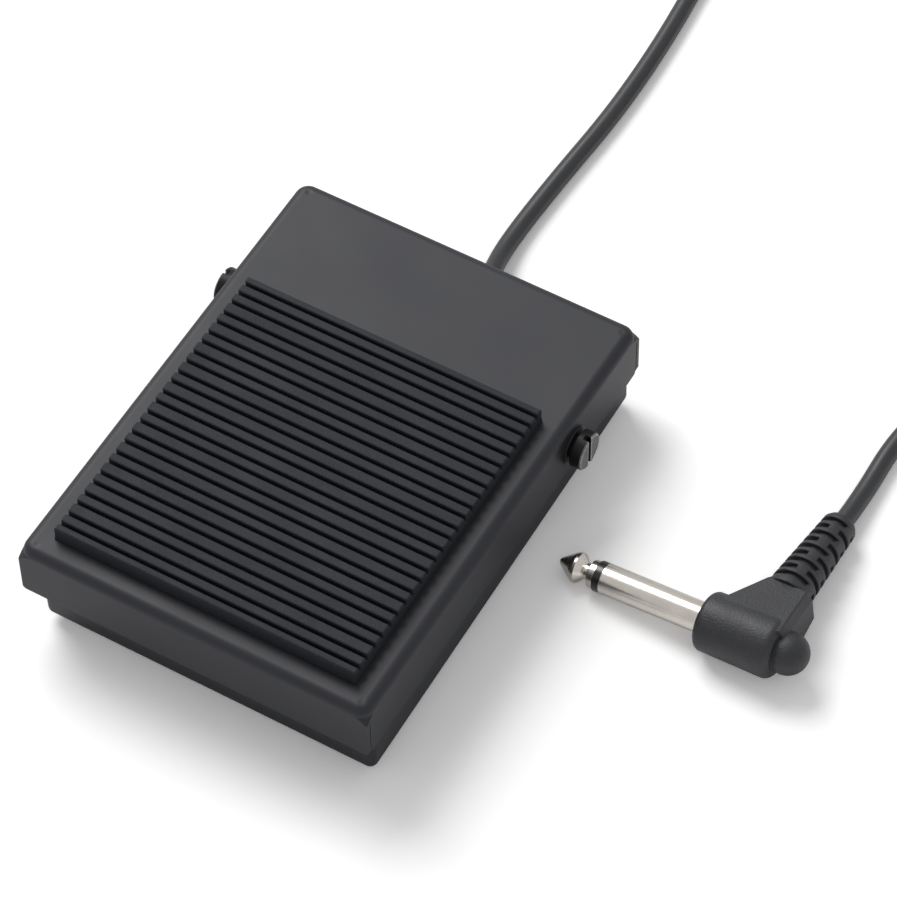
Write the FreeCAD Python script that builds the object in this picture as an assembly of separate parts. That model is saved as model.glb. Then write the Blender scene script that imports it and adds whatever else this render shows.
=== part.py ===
import FreeCAD, Part
import math
import os
from FreeCAD import Placement, Rotation, Vector

# Foot pedal switch: a sheet steel lid with a ribbed rubber tread rocks on two shoulder screws
# over a pressed steel tray. A coil spring lifts its toe, and a small lever switch on a bracket
# is worked by a button under the lid. The lead leaves at the back and ends in an angled plug.
# Millimetres. X is to the right, Y to the back, Z up, the floor is Z = 0, the toe is at minus Y.

# Lid
LID_WIDTH = 78.0
LID_LENGTH = 105.4
LID_SKIRT = 13.6
LID_SHEET = 1.0
LID_BEND = 2.2
LID_SEAM = 0.25
LID_CORNER = 3.0
LID_CORNER_DEPTH = 3.7
LID_SKIRT_CORNER = 0.9
LID_CENTRE_Y = 0.0
LID_SHIFT = 0.4

# Pivot, rest tilt (toe up) and travel
PIVOT_FROM_BACK = 26.7
PIVOT_ABOVE_TRAY = 15.0
LID_TOP_ABOVE_PIVOT = 7.6
REST_TILT = 1.625
TRAVEL = 3.0

# Tray
FOOT_HEIGHT = 2.0
TRAY_SHEET = 1.2
TRAY_CORNER = 1.7
TRAY_BEND = 1.6
TRAY_WALL = 17.0
GAP_SIDE = 0.55
GAP_TOE = 1.8
GAP_BACK = 0.7
EAR_WIDTH = 16.0
EAR_ABOVE_PIVOT = 5.0
SHELF_HEIGHT = 18.2
SHELF_DEPTH = 7.5
SHELF_WIDTH = 60.0
LAP = 0.05

# Feet
FOOT_RADIUS = 5.0
FOOT_STEM_RADIUS = 2.0
FOOT_BARB_RADIUS = 2.8
FOOT_BARB = 1.2
FOOT_INSET = 9.0

# Tread
TREAD_WIDTH = 67.0
TREAD_MARGIN = 5.25
TREAD_SOLE = 2.15
TREAD_RIB = 1.5
TREAD_LIP = 0.12
TREAD_LIP_HEIGHT = 0.7
GROOVE = 0.75
RIB_PAIRS = 12
RIB_NARROW = 1.84
RIB_WIDE = 2.27
RIB_END = 1.41
RIB_END_RADIUS = 0.3
RIB_EDGE_RADIUS = 0.35
PEG_RADIUS = 1.5
PEG_HEAD_RADIUS = 2.2
PEG_HEAD = 0.8
PEG_X = 24.0
PEG_ROWS = (-38.0, -12.0, 14.0)

# Pivot screws, bushes and nuts
SCREW_HEAD_RADIUS = 4.0
SCREW_HEAD = 2.46
SCREW_HEAD_EDGE = 0.3
SLOT_WIDTH = 1.2
SLOT_DEPTH = 1.3
SLOT_TURN_LEFT = -10.0
SLOT_TURN_RIGHT = -3.0
SHOULDER_RADIUS = 2.5
THREAD_RADIUS = 2.0
THREAD_PAST_NUT = 1.0
RUNNING_GAP = 0.04
BUSH_WALL = 0.5
BUSH_FLANGE_RADIUS = 4.1
BUSH_FLANGE = 0.45
NUT_FLATS = 7.0
NUT_HEIGHT = 3.2

# Return spring and its seats
SPRING_X = 0.0
SPRING_Y = -30.0
SPRING_RADIUS = 5.6
SPRING_WIRE = 1.2
SPRING_TURNS = 7
SPRING_END_GAP = 0.05
SEAT_RADIUS = 7.6
SEAT_SHEET = 1.0
SEAT_BOSS_RADIUS = 4.2
SEAT_BOSS = 3.2
RIVET_RADIUS = 1.8
RIVET_HEAD_RADIUS = 3.2
RIVET_HEAD = 0.7

# Stop pads
STOP_RADIUS = 3.5
STOP_X = 20.0
STOP_GAP = 0.05

# Lever switch
SWITCH_LENGTH = 19.8
SWITCH_WIDTH = 6.4
SWITCH_HEIGHT = 10.2
SWITCH_WALL = 0.8
SWITCH_Y = 0.0
SWITCH_ABOVE_TRAY = 6.8
SWITCH_HOLE_SPACING = 9.5
SWITCH_HOLE_UP = 2.9
SWITCH_HOLE_RADIUS = 1.15
SWITCH_POST_RADIUS = 1.9
TERMINAL_SPACING = 8.8
TERMINAL_WIDTH = 3.2
TERMINAL_SHEET = 0.5
TERMINAL_DROP = 4.5
TERMINAL_RISE = 6.2
CONTACT_GAP = 0.6
IDLE_DROP = 3.4
BLADE_SHEET = 0.3
BLADE_WIDTH = 3.0
PLUNGER_RADIUS = 1.1
PLUNGER_FORWARD = 5.2
PLUNGER_FLANGE_RADIUS = 1.8
PLUNGER_FLANGE = 0.8
PLUNGER_GAP = 0.05
LEVER_SHEET = 0.4
LEVER_WIDTH = 3.5
LEVER_ARM = 18.2
LEVER_TIP = 1.6
LEVER_ABOVE_CASE = 0.4
LEVER_PIN_RADIUS = 0.5
LEVER_PIN_BACK = 7.2
LEVER_PIN_UP = 0.8
LEVER_BOSS_WIDTH = 2.4
LEVER_BOSS_LENGTH = 2.4
LEVER_TURN = 6.2
BUTTON_RADIUS = 3.0
BUTTON_STEM_RADIUS = 1.5
BUTTON_GAP = 0.05

# Switch bracket and small screws
BRACKET_SHEET = 1.0
BRACKET_LENGTH = 16.0
BRACKET_RISE = 12.6
BRACKET_FOOT = 10.0
BRACKET_SCREW_SPACING = 10.0
M3_RADIUS = 1.5
M3_HEAD_RADIUS = 2.75
M3_HEAD = 1.8
M23_HEAD_RADIUS = 2.1
M23_HEAD = 1.5
M23_NUT_FLATS = 4.5
M23_NUT = 1.6
DRIVE_WIDTH = 0.7
DRIVE_DEPTH = 0.8

# Lead
CORD_RADIUS = 2.0
EXIT_HEIGHT = 6.2
GROMMET_RADIUS = 3.7
GROMMET_NECK_RADIUS = 3.1
GROMMET_FLANGE = 1.2
TAIL_LENGTH = 17.0
CLAMP_WALL = 1.0
CLAMP_WIDTH = 8.0
CLAMP_FOOT = 11.0
CLAMP_IN = 7.0
WIRE_RADIUS = 0.6

# Coil of the spare lead
COIL_X = 85.0
COIL_Y = 175.0
COIL_TURNS = 14.25
COIL_LAYERS = 4
COIL_OUTER = 31.75
COIL_PITCH = 4.5
COIL_RISE = 4.45
TIE_SHEET = 0.7
TIE_WIDTH = 8.0
TIE_SLACK = 0.6
TIE_GAP = 0.05

# Plug
PLUG_FACE = Vector(77.2, 9.05, 6.05)
PLUG_YAW = -0.4
PLUG_TILT = 5.9
SHANK_RADIUS = 3.175
SHANK_LENGTH = 32.35
TIP_LENGTH = 8.65
INSULATOR = 1.55
ROD_RADIUS = 1.2
LINER_RADIUS = 2.0
SHANK_NECK_RADIUS = 2.6
SHANK_IN_BODY = 5.0
BODY_RADIUS = 6.1
BODY_BACK_RADIUS = 6.4
BODY_RIM = 1.5
BODY_BACK_RIM = 1.9
BODY_LENGTH = 16.85
BLOCK_REACH = 12.0
BLOCK_BULGE = 0.5
BLOCK_FLARE = 0.4
BLOCK_SET_BACK = 0.9
BLOCK_TAPER = 6.75
BLOCK_END_HALF_HEIGHT = 4.5
BLOCK_LEFT_CUT = 0.6
BLOCK_RIGHT_CUT = 0.95
BLOCK_TOP_CUT = 2.3
BLOCK_BOTTOM_CUT = 0.8
BLOCK_DROP = 0.4
KNOB_RADIUS = 4.4
KNOB_OUT = 1.4
RELIEF_OFFSET = 11.7
RELIEF_DROOP = 9.6
RELIEF_LENGTH = 22.6
RELIEF_ROOT_RADIUS = 4.75
RELIEF_END_RADIUS = 3.55
RELIEF_IN_BODY = 0.8
RELIEF_SLOTS = 9
RELIEF_PITCH = 2.25
RELIEF_SLOT = 1.35
RELIEF_SLOT_DEPTH = 1.0
RELIEF_CAP = 2.3

# Places worked out from the sizes above
TRAY_BOTTOM = FOOT_HEIGHT
TRAY_FLOOR = TRAY_BOTTOM + TRAY_SHEET
LID_TOE = LID_CENTRE_Y - LID_LENGTH / 2
LID_BACK = LID_CENTRE_Y + LID_LENGTH / 2
PIVOT_Y = LID_BACK - PIVOT_FROM_BACK
PIVOT_Z = TRAY_BOTTOM + PIVOT_ABOVE_TRAY
LID_TOP = PIVOT_Z + LID_TOP_ABOVE_PIVOT
LID_INNER = LID_TOP - LID_SHEET
TRAY_X = LID_WIDTH / 2 - LID_SHEET - GAP_SIDE
TRAY_TOE = LID_TOE + LID_SHEET + GAP_TOE
TRAY_BACK = LID_BACK - LID_SHEET - GAP_BACK
SHELF_TOP = TRAY_BOTTOM + SHELF_HEIGHT
SWITCH_BOTTOM = TRAY_FLOOR + SWITCH_ABOVE_TRAY
SWITCH_TOP = SWITCH_BOTTOM + SWITCH_HEIGHT
BRACKET_X = SWITCH_WIDTH / 2
BUSH_RADIUS = SHOULDER_RADIUS + RUNNING_GAP + BUSH_WALL
EXIT = Vector(0.0, LID_BACK, EXIT_HEIGHT)

# Route of the lead from the back of the pedal to the coil, and from the coil to the plug.
# The first and last points of each follow the pieces that they meet.
ROUTE_TO_COIL = [
    (-0.8, 60.5, 5.4),
    (-3.35, 72.0, 2.05),
    (-2.45, 92.0, 2.05),
    (-0.65, 114.0, 2.05),
    (-1.05, 138.0, 2.05),
    (-3.4, 162.0, 2.05),
    (7.6, 187.0, 2.05),
    (31.5, 202.5, 2.1),
]
ROUTE_TO_PLUG = [
    (115.2, 141.0, 7.6),
    (112.6, 124.0, 2.05),
    (105.1, 104.0, 2.05),
    (93.8, 86.0, 2.05),
    (89.2, 68.0, 2.05),
]
COIL_LEAD_RUN = 20.0
COIL_DROP_RUN = 13.0
PLUG_LEAD_RUN = 8.5


def box(x0, x1, y0, y1, z0, z1):
    """A block between two corners."""
    return Part.makeBox(x1 - x0, y1 - y0, z1 - z0, Vector(x0, y0, z0))


def rod(radius, start, end):
    """A round bar from one point to another."""
    run = end - start
    return Part.makeCylinder(radius, run.Length, start, run)


def hexagon(flats, height, start, axis):
    """A hexagonal prism, flats apart, standing on start along axis."""
    corner = flats / 2 / math.cos(math.pi / 6)
    points = []
    for k in range(7):
        turn = math.radians(60 * k + 30)
        points.append(Vector(corner * math.cos(turn), corner * math.sin(turn), 0))
    prism = Part.Face(Part.makePolygon(points)).extrude(Vector(0, 0, height))
    prism.Placement = Placement(start, Rotation(Vector(0, 0, 1), axis))
    return prism


def turned(profile, start, axis):
    """A turned piece: profile lists (distance along axis, radius), closed on the axis."""
    points = [Vector(profile[0][0], 0, 0)]
    points += [Vector(along, radius, 0) for along, radius in profile]
    points += [Vector(profile[-1][0], 0, 0), Vector(profile[0][0], 0, 0)]
    outline = [points[0]]
    for point in points[1:]:
        if (point - outline[-1]).Length > 1e-6:
            outline.append(point)
    piece = Part.Face(Part.makePolygon(outline)).revolve(Vector(0, 0, 0), Vector(1, 0, 0), 360)
    piece.Placement = Placement(start, Rotation(Vector(1, 0, 0), axis))
    return piece


def edges_near(shape, test):
    """The edges of shape whose middle point passes the test."""
    found = []
    for edge in shape.Edges:
        middle = edge.valueAt((edge.FirstParameter + edge.LastParameter) / 2)
        if test(edge, middle):
            found.append(edge)
    return found


def along(edge, axis):
    """True for a straight edge that lies along axis."""
    if not isinstance(edge.Curve, Part.Line):
        return False
    return abs(abs(edge.Curve.Direction.dot(axis)) - 1) < 1e-6


def joined(first, *others):
    """One solid from touching or overlapping pieces."""
    return first.fuse(list(others)).removeSplitter()


def tilted(shape):
    """The lid and what it carries, moved over in its side play and turned to its rest tilt."""
    copy = shape.copy()
    copy.translate(Vector(-LID_SHIFT, 0, 0))
    copy.rotate(Vector(0, PIVOT_Y, PIVOT_Z), Vector(1, 0, 0), -REST_TILT)
    return copy


def lid_inner_height(y, tilt):
    """Height of the lid's inner face over y when its toe is tilt degrees up."""
    turn = math.radians(tilt)
    reach = PIVOT_Y - y
    return PIVOT_Z + (LID_INNER - PIVOT_Z) / math.cos(turn) + reach * math.tan(turn)


def section(radius, point, direction):
    """A round wire across a path's start."""
    return Part.Wire(Part.makeCircle(radius, point, direction))


def swept(path, radius, point, direction):
    """A round solid along a path."""
    shell = Part.BRepOffsetAPI.MakePipeShell(path)
    shell.add(section(radius, point, direction))
    shell.build()
    shell.makeSolid()
    return shell.shape()


def tube(name, points, radius):
    """A tube on straight runs joined by tangent arcs as large as the runs allow."""
    edges = []
    radii = []
    start = points[0]
    for k in range(1, len(points) - 1):
        back = points[k - 1] - points[k]
        ahead = points[k + 1] - points[k]
        half_turn = (math.pi - back.getAngle(ahead)) / 2
        reach = 0.45 * min(back.Length, ahead.Length)
        bend = reach / math.tan(half_turn)
        back.normalize()
        ahead.normalize()
        arc_start = points[k] + back * reach
        arc_end = points[k] + ahead * reach
        inward = back + ahead
        inward.normalize()
        sagitta = bend * (1 / math.cos(half_turn) - 1)
        edges.append(Part.LineSegment(start, arc_start).toShape())
        edges.append(Part.Arc(arc_start, points[k] + inward * sagitta, arc_end).toShape())
        radii.append(round(bend, 1))
        start = arc_end
    edges.append(Part.LineSegment(start, points[-1]).toShape())
    path = Part.Wire(edges)
    solid = swept(path, radius, points[0], points[1] - points[0])
    share = solid.Volume / (math.pi * radius ** 2 * path.Length)
    print(name, "radii", radii, "length", round(path.Length, 1), "volume share", round(share, 4))
    return solid


def arc_to(start, tangent, end):
    """The arc that leaves start along tangent and reaches end."""
    chord = end - start
    half = chord.Length / 2
    lean = tangent.getAngle(chord)
    side = tangent - chord * (tangent.dot(chord) / chord.Length ** 2)
    if side.Length < 1e-9:
        return Part.LineSegment(start, end).toShape()
    side.normalize()
    middle = (start + end) * 0.5 + side * (half * math.tan(lean / 2))
    return Part.Arc(start, middle, end).toShape()


def biarc(start, start_tangent, end, end_tangent):
    """Two arcs with a common tangent between two points with given tangents."""
    chord = end - start
    both = start_tangent + end_tangent
    across = chord.dot(both)
    spread = 2 * (1 - start_tangent.dot(end_tangent))
    reach = (math.sqrt(across ** 2 + spread * chord.dot(chord)) - across) / spread
    middle = (start + end + (start_tangent - end_tangent) * reach) * 0.5
    tangent = end - end_tangent * reach - start - start_tangent * reach
    tangent.normalize()
    return [arc_to(start, start_tangent, middle), arc_to(middle, tangent, end)]


def wound(name, place, turns, wire_radius, lead):
    """A wire wound along place(turn), in quarter turns, with straight leads at both ends."""
    step = 1e-4
    steps = round(turns * 4)
    marks = [turns * k / steps for k in range(steps + 1)]
    points = [place(mark) for mark in marks]
    tangents = []
    for mark in marks:
        tangent = place(min(mark + step, turns)) - place(max(mark - step, 0))
        tangent.normalize()
        tangents.append(tangent)
    edges = []
    start = points[0]
    if lead > 0:
        start = points[0] - tangents[0] * lead
        edges.append(Part.LineSegment(start, points[0]).toShape())
    for k in range(steps):
        edges += biarc(points[k], tangents[k], points[k + 1], tangents[k + 1])
    end = points[-1]
    if lead > 0:
        end = points[-1] + tangents[-1] * lead
        edges.append(Part.LineSegment(points[-1], end).toShape())
    path = Part.Wire(edges)
    solid = swept(path, wire_radius, start, tangents[0])
    share = solid.Volume / (math.pi * wire_radius ** 2 * path.Length)
    fine = [place(turns * k / (steps * 9)) for k in range(steps * 9 + 1)]
    apart = 27
    gap = min((fine[a] - fine[b]).Length for a in range(len(fine)) for b in range(a + apart, len(fine)))
    print(name, "length", round(path.Length, 1), "volume share", round(share, 4),
          "least gap", round(gap - 2 * wire_radius, 2))
    return solid, start, end


def lid_level():
    """The lid before it is tilted: a folded cover with four skirts and rounded top corners."""
    half = LID_WIDTH / 2
    bottom = LID_TOP - LID_SKIRT
    low = LID_TOP - LID_CORNER_DEPTH

    def pressing(inset, foot, top):
        """A block with rounded top corners and rim, which slope out to the corners of square sides."""
        sides = (-half + inset, half - inset, LID_TOE + inset, LID_BACK - inset)
        radius = LID_CORNER - inset
        waist = LID_TOP - LID_BEND
        crown = box(*sides, low, top)
        upright = edges_near(crown, lambda edge, middle: along(edge, Vector(0, 0, 1)))
        crown = crown.makeFillet(radius, upright)
        rim = edges_near(crown, lambda edge, middle: abs(middle.z - top) < 1e-6)
        crown = crown.makeFillet(LID_BEND - inset, rim).cut(box(*sides, low, waist))
        slopes = []
        for x, inward_x in ((sides[0], 1), (sides[1], -1)):
            for y, inward_y in ((sides[2], 1), (sides[3], -1)):
                middle = Vector(x + inward_x * radius, y + inward_y * radius, low)
                x0, x1 = sorted((middle.x, x - inward_x))
                y0, y1 = sorted((middle.y, y - inward_y))
                slope = Part.makeCone(radius * math.sqrt(2), radius, waist - low, middle)
                slopes.append(box(x0, x1, y0, y1, low, waist).cut(slope))
        return joined(crown, box(*sides, foot, waist).cut(slopes))

    lid = pressing(0, bottom, LID_TOP).cut(pressing(LID_SHEET, bottom - LID_SHEET, LID_INNER))
    cuts = []
    for side in (-1, 1):
        for y, inward in ((LID_TOE, 1), (LID_BACK, -1)):
            x0, x1 = sorted((side * (half - LID_SHEET - LAP), side * (half + 1)))
            y0, y1 = sorted((y + inward * LID_SHEET, y + inward * (LID_SHEET + LID_SEAM)))
            cuts.append(box(x0, x1, y0, y1, bottom - 1, low + LAP))
    lid = lid.cut(cuts)

    def skirt_end(edge, middle):
        if abs(middle.z - bottom) > 1e-6 or edge.Length > 1.1 * LID_SHEET:
            return False
        from_end = LID_LENGTH / 2 - abs(middle.y - LID_CENTRE_Y)
        on_side = abs(from_end - LID_SHEET - LID_SEAM) < 1e-6
        at_end = abs(abs(middle.x) - half) < 1e-6
        return on_side or at_end

    lid = lid.makeFillet(LID_SKIRT_CORNER, edges_near(lid, skirt_end))
    return lid


def lid_holes():
    """What is cut out of the level lid: pivot, tread, button and spring post holes."""
    half = LID_WIDTH / 2
    cuts = [rod(BUSH_RADIUS, Vector(-half - 1, PIVOT_Y, PIVOT_Z), Vector(half + 1, PIVOT_Y, PIVOT_Z))]
    for x, y in peg_places():
        cuts.append(rod(PEG_RADIUS, Vector(x, y, LID_INNER - 1), Vector(x, y, LID_TOP + 1)))
    for radius, x, y in ((BUTTON_STEM_RADIUS, 0, button_y()), (RIVET_RADIUS, SPRING_X, SPRING_Y)):
        cuts.append(rod(radius, Vector(x, y, LID_INNER - 1), Vector(x, y, LID_TOP + 1)))
    return cuts


def pedal_lid():
    return tilted(lid_level().cut(lid_holes()))


def peg_places():
    return [(side * PEG_X, y + LID_CENTRE_Y) for side in (-1, 1) for y in PEG_ROWS]


def rib_widths():
    """Widths of the ribs from toe to back: narrow and wide by turns between two end ribs."""
    middle = [RIB_NARROW, RIB_WIDE] * RIB_PAIRS
    middle[-1] = RIB_NARROW
    return [RIB_END] + middle + [RIB_END]


def tread_pad():
    """The rubber tread: a sole with a thin lip, square ribs across it, and pegs through the lid."""
    half = TREAD_WIDTH / 2
    toe = LID_TOE + TREAD_MARGIN
    widths = rib_widths()
    back = toe + sum(widths) + GROOVE * (len(widths) - 1)
    sole_top = LID_TOP + TREAD_SOLE
    pieces = [box(-half - TREAD_LIP, half + TREAD_LIP, toe - TREAD_LIP, back + TREAD_LIP,
                  LID_TOP, LID_TOP + TREAD_LIP_HEIGHT)]
    body = box(-half, half, toe, back, LID_TOP, sole_top + TREAD_RIB)
    top_edges = edges_near(body, lambda edge, middle: middle.z > sole_top)
    body = body.makeFillet(RIB_END_RADIUS, top_edges)
    grooves = []
    y = toe
    for width in widths[:-1]:
        y += width
        grooves.append(box(-half - 1, half + 1, y, y + GROOVE, sole_top, sole_top + TREAD_RIB + 1))
        y += GROOVE
    body = body.cut(grooves)
    top = sole_top + TREAD_RIB
    crests = edges_near(body, lambda edge, middle: abs(middle.z - top) < 1e-6 and edge.Length > half
                        and toe + RIB_END_RADIUS + LAP < middle.y < back - RIB_END_RADIUS - LAP)
    pieces.append(body.makeFillet(RIB_EDGE_RADIUS, crests))
    for x, y in peg_places():
        pieces.append(rod(PEG_RADIUS, Vector(x, y, LID_INNER - PEG_HEAD), Vector(x, y, LID_TOP + 0.2)))
        pieces.append(Part.makeCone(PEG_HEAD_RADIUS - 0.5, PEG_HEAD_RADIUS, PEG_HEAD,
                                    Vector(x, y, LID_INNER - PEG_HEAD), Vector(0, 0, 1)))
    return tilted(joined(*pieces))


def tray():
    """The pressed steel tray: floor, walls, two pivot ears, two shelves and all its holes."""
    wall_top = TRAY_BOTTOM + TRAY_WALL
    ear_top = PIVOT_Z + EAR_ABOVE_PIVOT
    outer = box(-TRAY_X, TRAY_X, TRAY_TOE, TRAY_BACK, TRAY_BOTTOM, ear_top)
    outer = outer.makeFillet(TRAY_CORNER, edges_near(outer, lambda e, m: along(e, Vector(0, 0, 1))))
    outer = outer.makeFillet(TRAY_BEND, edges_near(outer, lambda e, m: abs(m.z - TRAY_BOTTOM) < 1e-6))
    inner = box(-TRAY_X + TRAY_SHEET, TRAY_X - TRAY_SHEET, TRAY_TOE + TRAY_SHEET,
                TRAY_BACK - TRAY_SHEET, TRAY_FLOOR, ear_top + 1)
    inner = inner.makeFillet(TRAY_CORNER - TRAY_SHEET,
                             edges_near(inner, lambda e, m: along(e, Vector(0, 0, 1))))
    shell = outer.cut(inner)
    above = [
        box(-TRAY_X - 1, TRAY_X + 1, TRAY_TOE - 1, PIVOT_Y - EAR_WIDTH / 2, wall_top, ear_top + 1),
        box(-TRAY_X - 1, TRAY_X + 1, PIVOT_Y + EAR_WIDTH / 2, TRAY_BACK + 1, wall_top, ear_top + 1),
    ]
    shell = shell.cut(above)
    ear_corners = edges_near(shell, lambda e, m: abs(m.z - ear_top) < 1e-6
                             and abs(abs(m.y - PIVOT_Y) - EAR_WIDTH / 2) < 1e-6)
    shell = shell.makeFillet(0.8 * (ear_top - wall_top), ear_corners)
    shelf_x = SHELF_WIDTH / 2
    shelves = [
        box(-shelf_x, shelf_x, TRAY_TOE, TRAY_TOE + SHELF_DEPTH, SHELF_TOP - TRAY_SHEET, SHELF_TOP),
        box(-shelf_x, shelf_x, TRAY_TOE, TRAY_TOE + TRAY_SHEET, wall_top - 1, SHELF_TOP),
        box(-shelf_x, shelf_x, TRAY_BACK - SHELF_DEPTH, TRAY_BACK, SHELF_TOP - TRAY_SHEET, SHELF_TOP),
        box(-shelf_x, shelf_x, TRAY_BACK - TRAY_SHEET, TRAY_BACK, wall_top - 1, SHELF_TOP),
    ]
    shell = joined(shell, *shelves)
    cuts = [rod(THREAD_RADIUS, Vector(-TRAY_X - 1, PIVOT_Y, PIVOT_Z), Vector(TRAY_X + 1, PIVOT_Y, PIVOT_Z)),
            rod(GROMMET_NECK_RADIUS, Vector(0, TRAY_BACK - 2 * TRAY_SHEET, EXIT_HEIGHT),
                Vector(0, TRAY_BACK + 1, EXIT_HEIGHT))]
    floor_holes = [(FOOT_STEM_RADIUS, x, y) for x, y in foot_places()]
    floor_holes.append((RIVET_RADIUS, SPRING_X, SPRING_Y))
    floor_holes += [(M3_RADIUS, x, y) for x, y in floor_screw_places()]
    for radius, x, y in floor_holes:
        cuts.append(rod(radius, Vector(x, y, TRAY_BOTTOM - 1), Vector(x, y, TRAY_FLOOR + 1)))
    return shell.cut(cuts)


def foot_places():
    ys = (TRAY_TOE + FOOT_INSET, TRAY_BACK - FOOT_INSET)
    return [(side * (TRAY_X - FOOT_INSET), y) for side in (-1, 1) for y in ys]


def rubber_feet():
    feet = []
    for x, y in foot_places():
        profile = [(0, FOOT_RADIUS - 0.5), (0.5, FOOT_RADIUS), (FOOT_HEIGHT, FOOT_RADIUS),
                   (FOOT_HEIGHT, FOOT_STEM_RADIUS), (FOOT_HEIGHT + TRAY_SHEET, FOOT_STEM_RADIUS),
                   (FOOT_HEIGHT + TRAY_SHEET, FOOT_BARB_RADIUS),
                   (FOOT_HEIGHT + TRAY_SHEET + FOOT_BARB, FOOT_STEM_RADIUS)]
        feet.append(turned(profile, Vector(x, y, 0), Vector(0, 0, 1)))
    return Part.makeCompound(feet)


def stop_pads(y, top):
    """Two rubber discs on a shelf, up to the given height."""
    pads = []
    for side in (-1, 1):
        height = top - SHELF_TOP
        profile = [(0, STOP_RADIUS), (height - 0.4, STOP_RADIUS), (height, STOP_RADIUS - 0.4)]
        pads.append(turned(profile, Vector(side * STOP_X, y, SHELF_TOP), Vector(0, 0, 1)))
    return Part.makeCompound(pads)


def toe_stops():
    y = TRAY_TOE + SHELF_DEPTH / 2 + 0.4
    return stop_pads(y, lid_inner_height(y + STOP_RADIUS, REST_TILT - TRAVEL) - STOP_GAP
                     - STOP_RADIUS * 2 * math.tan(math.radians(abs(REST_TILT - TRAVEL))))


def back_stops():
    y = TRAY_BACK - SHELF_DEPTH / 2 - 0.4
    return stop_pads(y, lid_inner_height(y + STOP_RADIUS, REST_TILT) - STOP_GAP)


def pivot_screw(side):
    """A shoulder screw: slotted head, shoulder through the bush, thread through the ear and nut."""
    head_base = LID_WIDTH / 2 + LID_SHIFT + BUSH_FLANGE + RUNNING_GAP
    ear = TRAY_X
    end = ear - TRAY_SHEET - NUT_HEIGHT - THREAD_PAST_NUT
    face = head_base + SCREW_HEAD
    profile = [(-face, SCREW_HEAD_RADIUS - SCREW_HEAD_EDGE), (-face + SCREW_HEAD_EDGE, SCREW_HEAD_RADIUS),
               (-head_base, SCREW_HEAD_RADIUS), (-head_base, SHOULDER_RADIUS),
               (-ear, SHOULDER_RADIUS), (-ear, THREAD_RADIUS),
               (-end - 0.4, THREAD_RADIUS), (-end, THREAD_RADIUS - 0.4)]
    screw = turned(profile, Vector(0, PIVOT_Y, PIVOT_Z), Vector(-side, 0, 0))
    x0, x1 = sorted((side * (face - SLOT_DEPTH), side * (face + 1)))
    slot = box(x0, x1, PIVOT_Y - SLOT_WIDTH / 2, PIVOT_Y + SLOT_WIDTH / 2,
               PIVOT_Z - 2 * SCREW_HEAD_RADIUS, PIVOT_Z + 2 * SCREW_HEAD_RADIUS)
    turn = SLOT_TURN_LEFT if side < 0 else SLOT_TURN_RIGHT
    slot.rotate(Vector(0, PIVOT_Y, PIVOT_Z), Vector(1, 0, 0), turn)
    return screw.cut(slot)


def pivot_nuts():
    nuts = []
    for side in (-1, 1):
        start = Vector(side * (TRAY_X - TRAY_SHEET), PIVOT_Y, PIVOT_Z)
        nut = hexagon(NUT_FLATS, NUT_HEIGHT, start, Vector(-side, 0, 0))
        nuts.append(nut.cut(rod(THREAD_RADIUS, start + Vector(side, 0, 0),
                                start - Vector(side * (NUT_HEIGHT + 1), 0, 0))))
    return Part.makeCompound(nuts)


def pivot_bushes():
    """Two flanged nylon bushes in the lid's pivot holes."""
    bushes = []
    half = LID_WIDTH / 2
    for side in (-1, 1):
        flange = rod(BUSH_FLANGE_RADIUS, Vector(side * half, PIVOT_Y, PIVOT_Z),
                     Vector(side * (half + BUSH_FLANGE), PIVOT_Y, PIVOT_Z))
        barrel = rod(BUSH_RADIUS, Vector(side * (TRAY_X + LID_SHIFT + RUNNING_GAP), PIVOT_Y, PIVOT_Z),
                     Vector(side * (half + BUSH_FLANGE), PIVOT_Y, PIVOT_Z))
        bore = rod(SHOULDER_RADIUS + RUNNING_GAP, Vector(side * (TRAY_X - 1), PIVOT_Y, PIVOT_Z),
                   Vector(side * (half + 2), PIVOT_Y, PIVOT_Z))
        bushes.append(tilted(joined(flange, barrel).cut(bore)))
    return Part.makeCompound(bushes)


def spring_ends():
    """Heights between which the return spring stands at rest."""
    bottom = TRAY_FLOOR + SEAT_SHEET
    reach = SPRING_RADIUS + SPRING_WIRE / 2
    seat = SEAT_SHEET / math.cos(math.radians(REST_TILT))
    post_face = lid_inner_height(SPRING_Y + reach, REST_TILT) - seat
    return bottom, post_face - SPRING_END_GAP


def return_spring():
    """A round wire spring whose first and last turns are ground flat."""
    bottom, top = spring_ends()

    def place(turn):
        angle = 2 * math.pi * turn
        rise = (top - bottom) * turn / SPRING_TURNS
        return Vector(SPRING_X + SPRING_RADIUS * math.cos(angle),
                      SPRING_Y + SPRING_RADIUS * math.sin(angle), bottom + rise)

    coil, _, _ = wound("return_spring", place, SPRING_TURNS, SPRING_WIRE / 2, 0)
    reach = SPRING_RADIUS + SPRING_WIRE
    keep = box(SPRING_X - reach, SPRING_X + reach, SPRING_Y - reach, SPRING_Y + reach, bottom, top)
    return coil.common(keep)


def spring_seat():
    """The riveted cup that the spring stands on."""
    profile = [(-TRAY_SHEET - RIVET_HEAD, RIVET_HEAD_RADIUS - 0.5), (-TRAY_SHEET, RIVET_HEAD_RADIUS),
               (-TRAY_SHEET, RIVET_RADIUS), (0, RIVET_RADIUS), (0, SEAT_RADIUS),
               (SEAT_SHEET, SEAT_RADIUS), (SEAT_SHEET, SEAT_BOSS_RADIUS),
               (SEAT_SHEET + SEAT_BOSS - 0.6, SEAT_BOSS_RADIUS),
               (SEAT_SHEET + SEAT_BOSS, SEAT_BOSS_RADIUS - 0.6)]
    return turned(profile, Vector(SPRING_X, SPRING_Y, TRAY_FLOOR), Vector(0, 0, 1))


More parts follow.
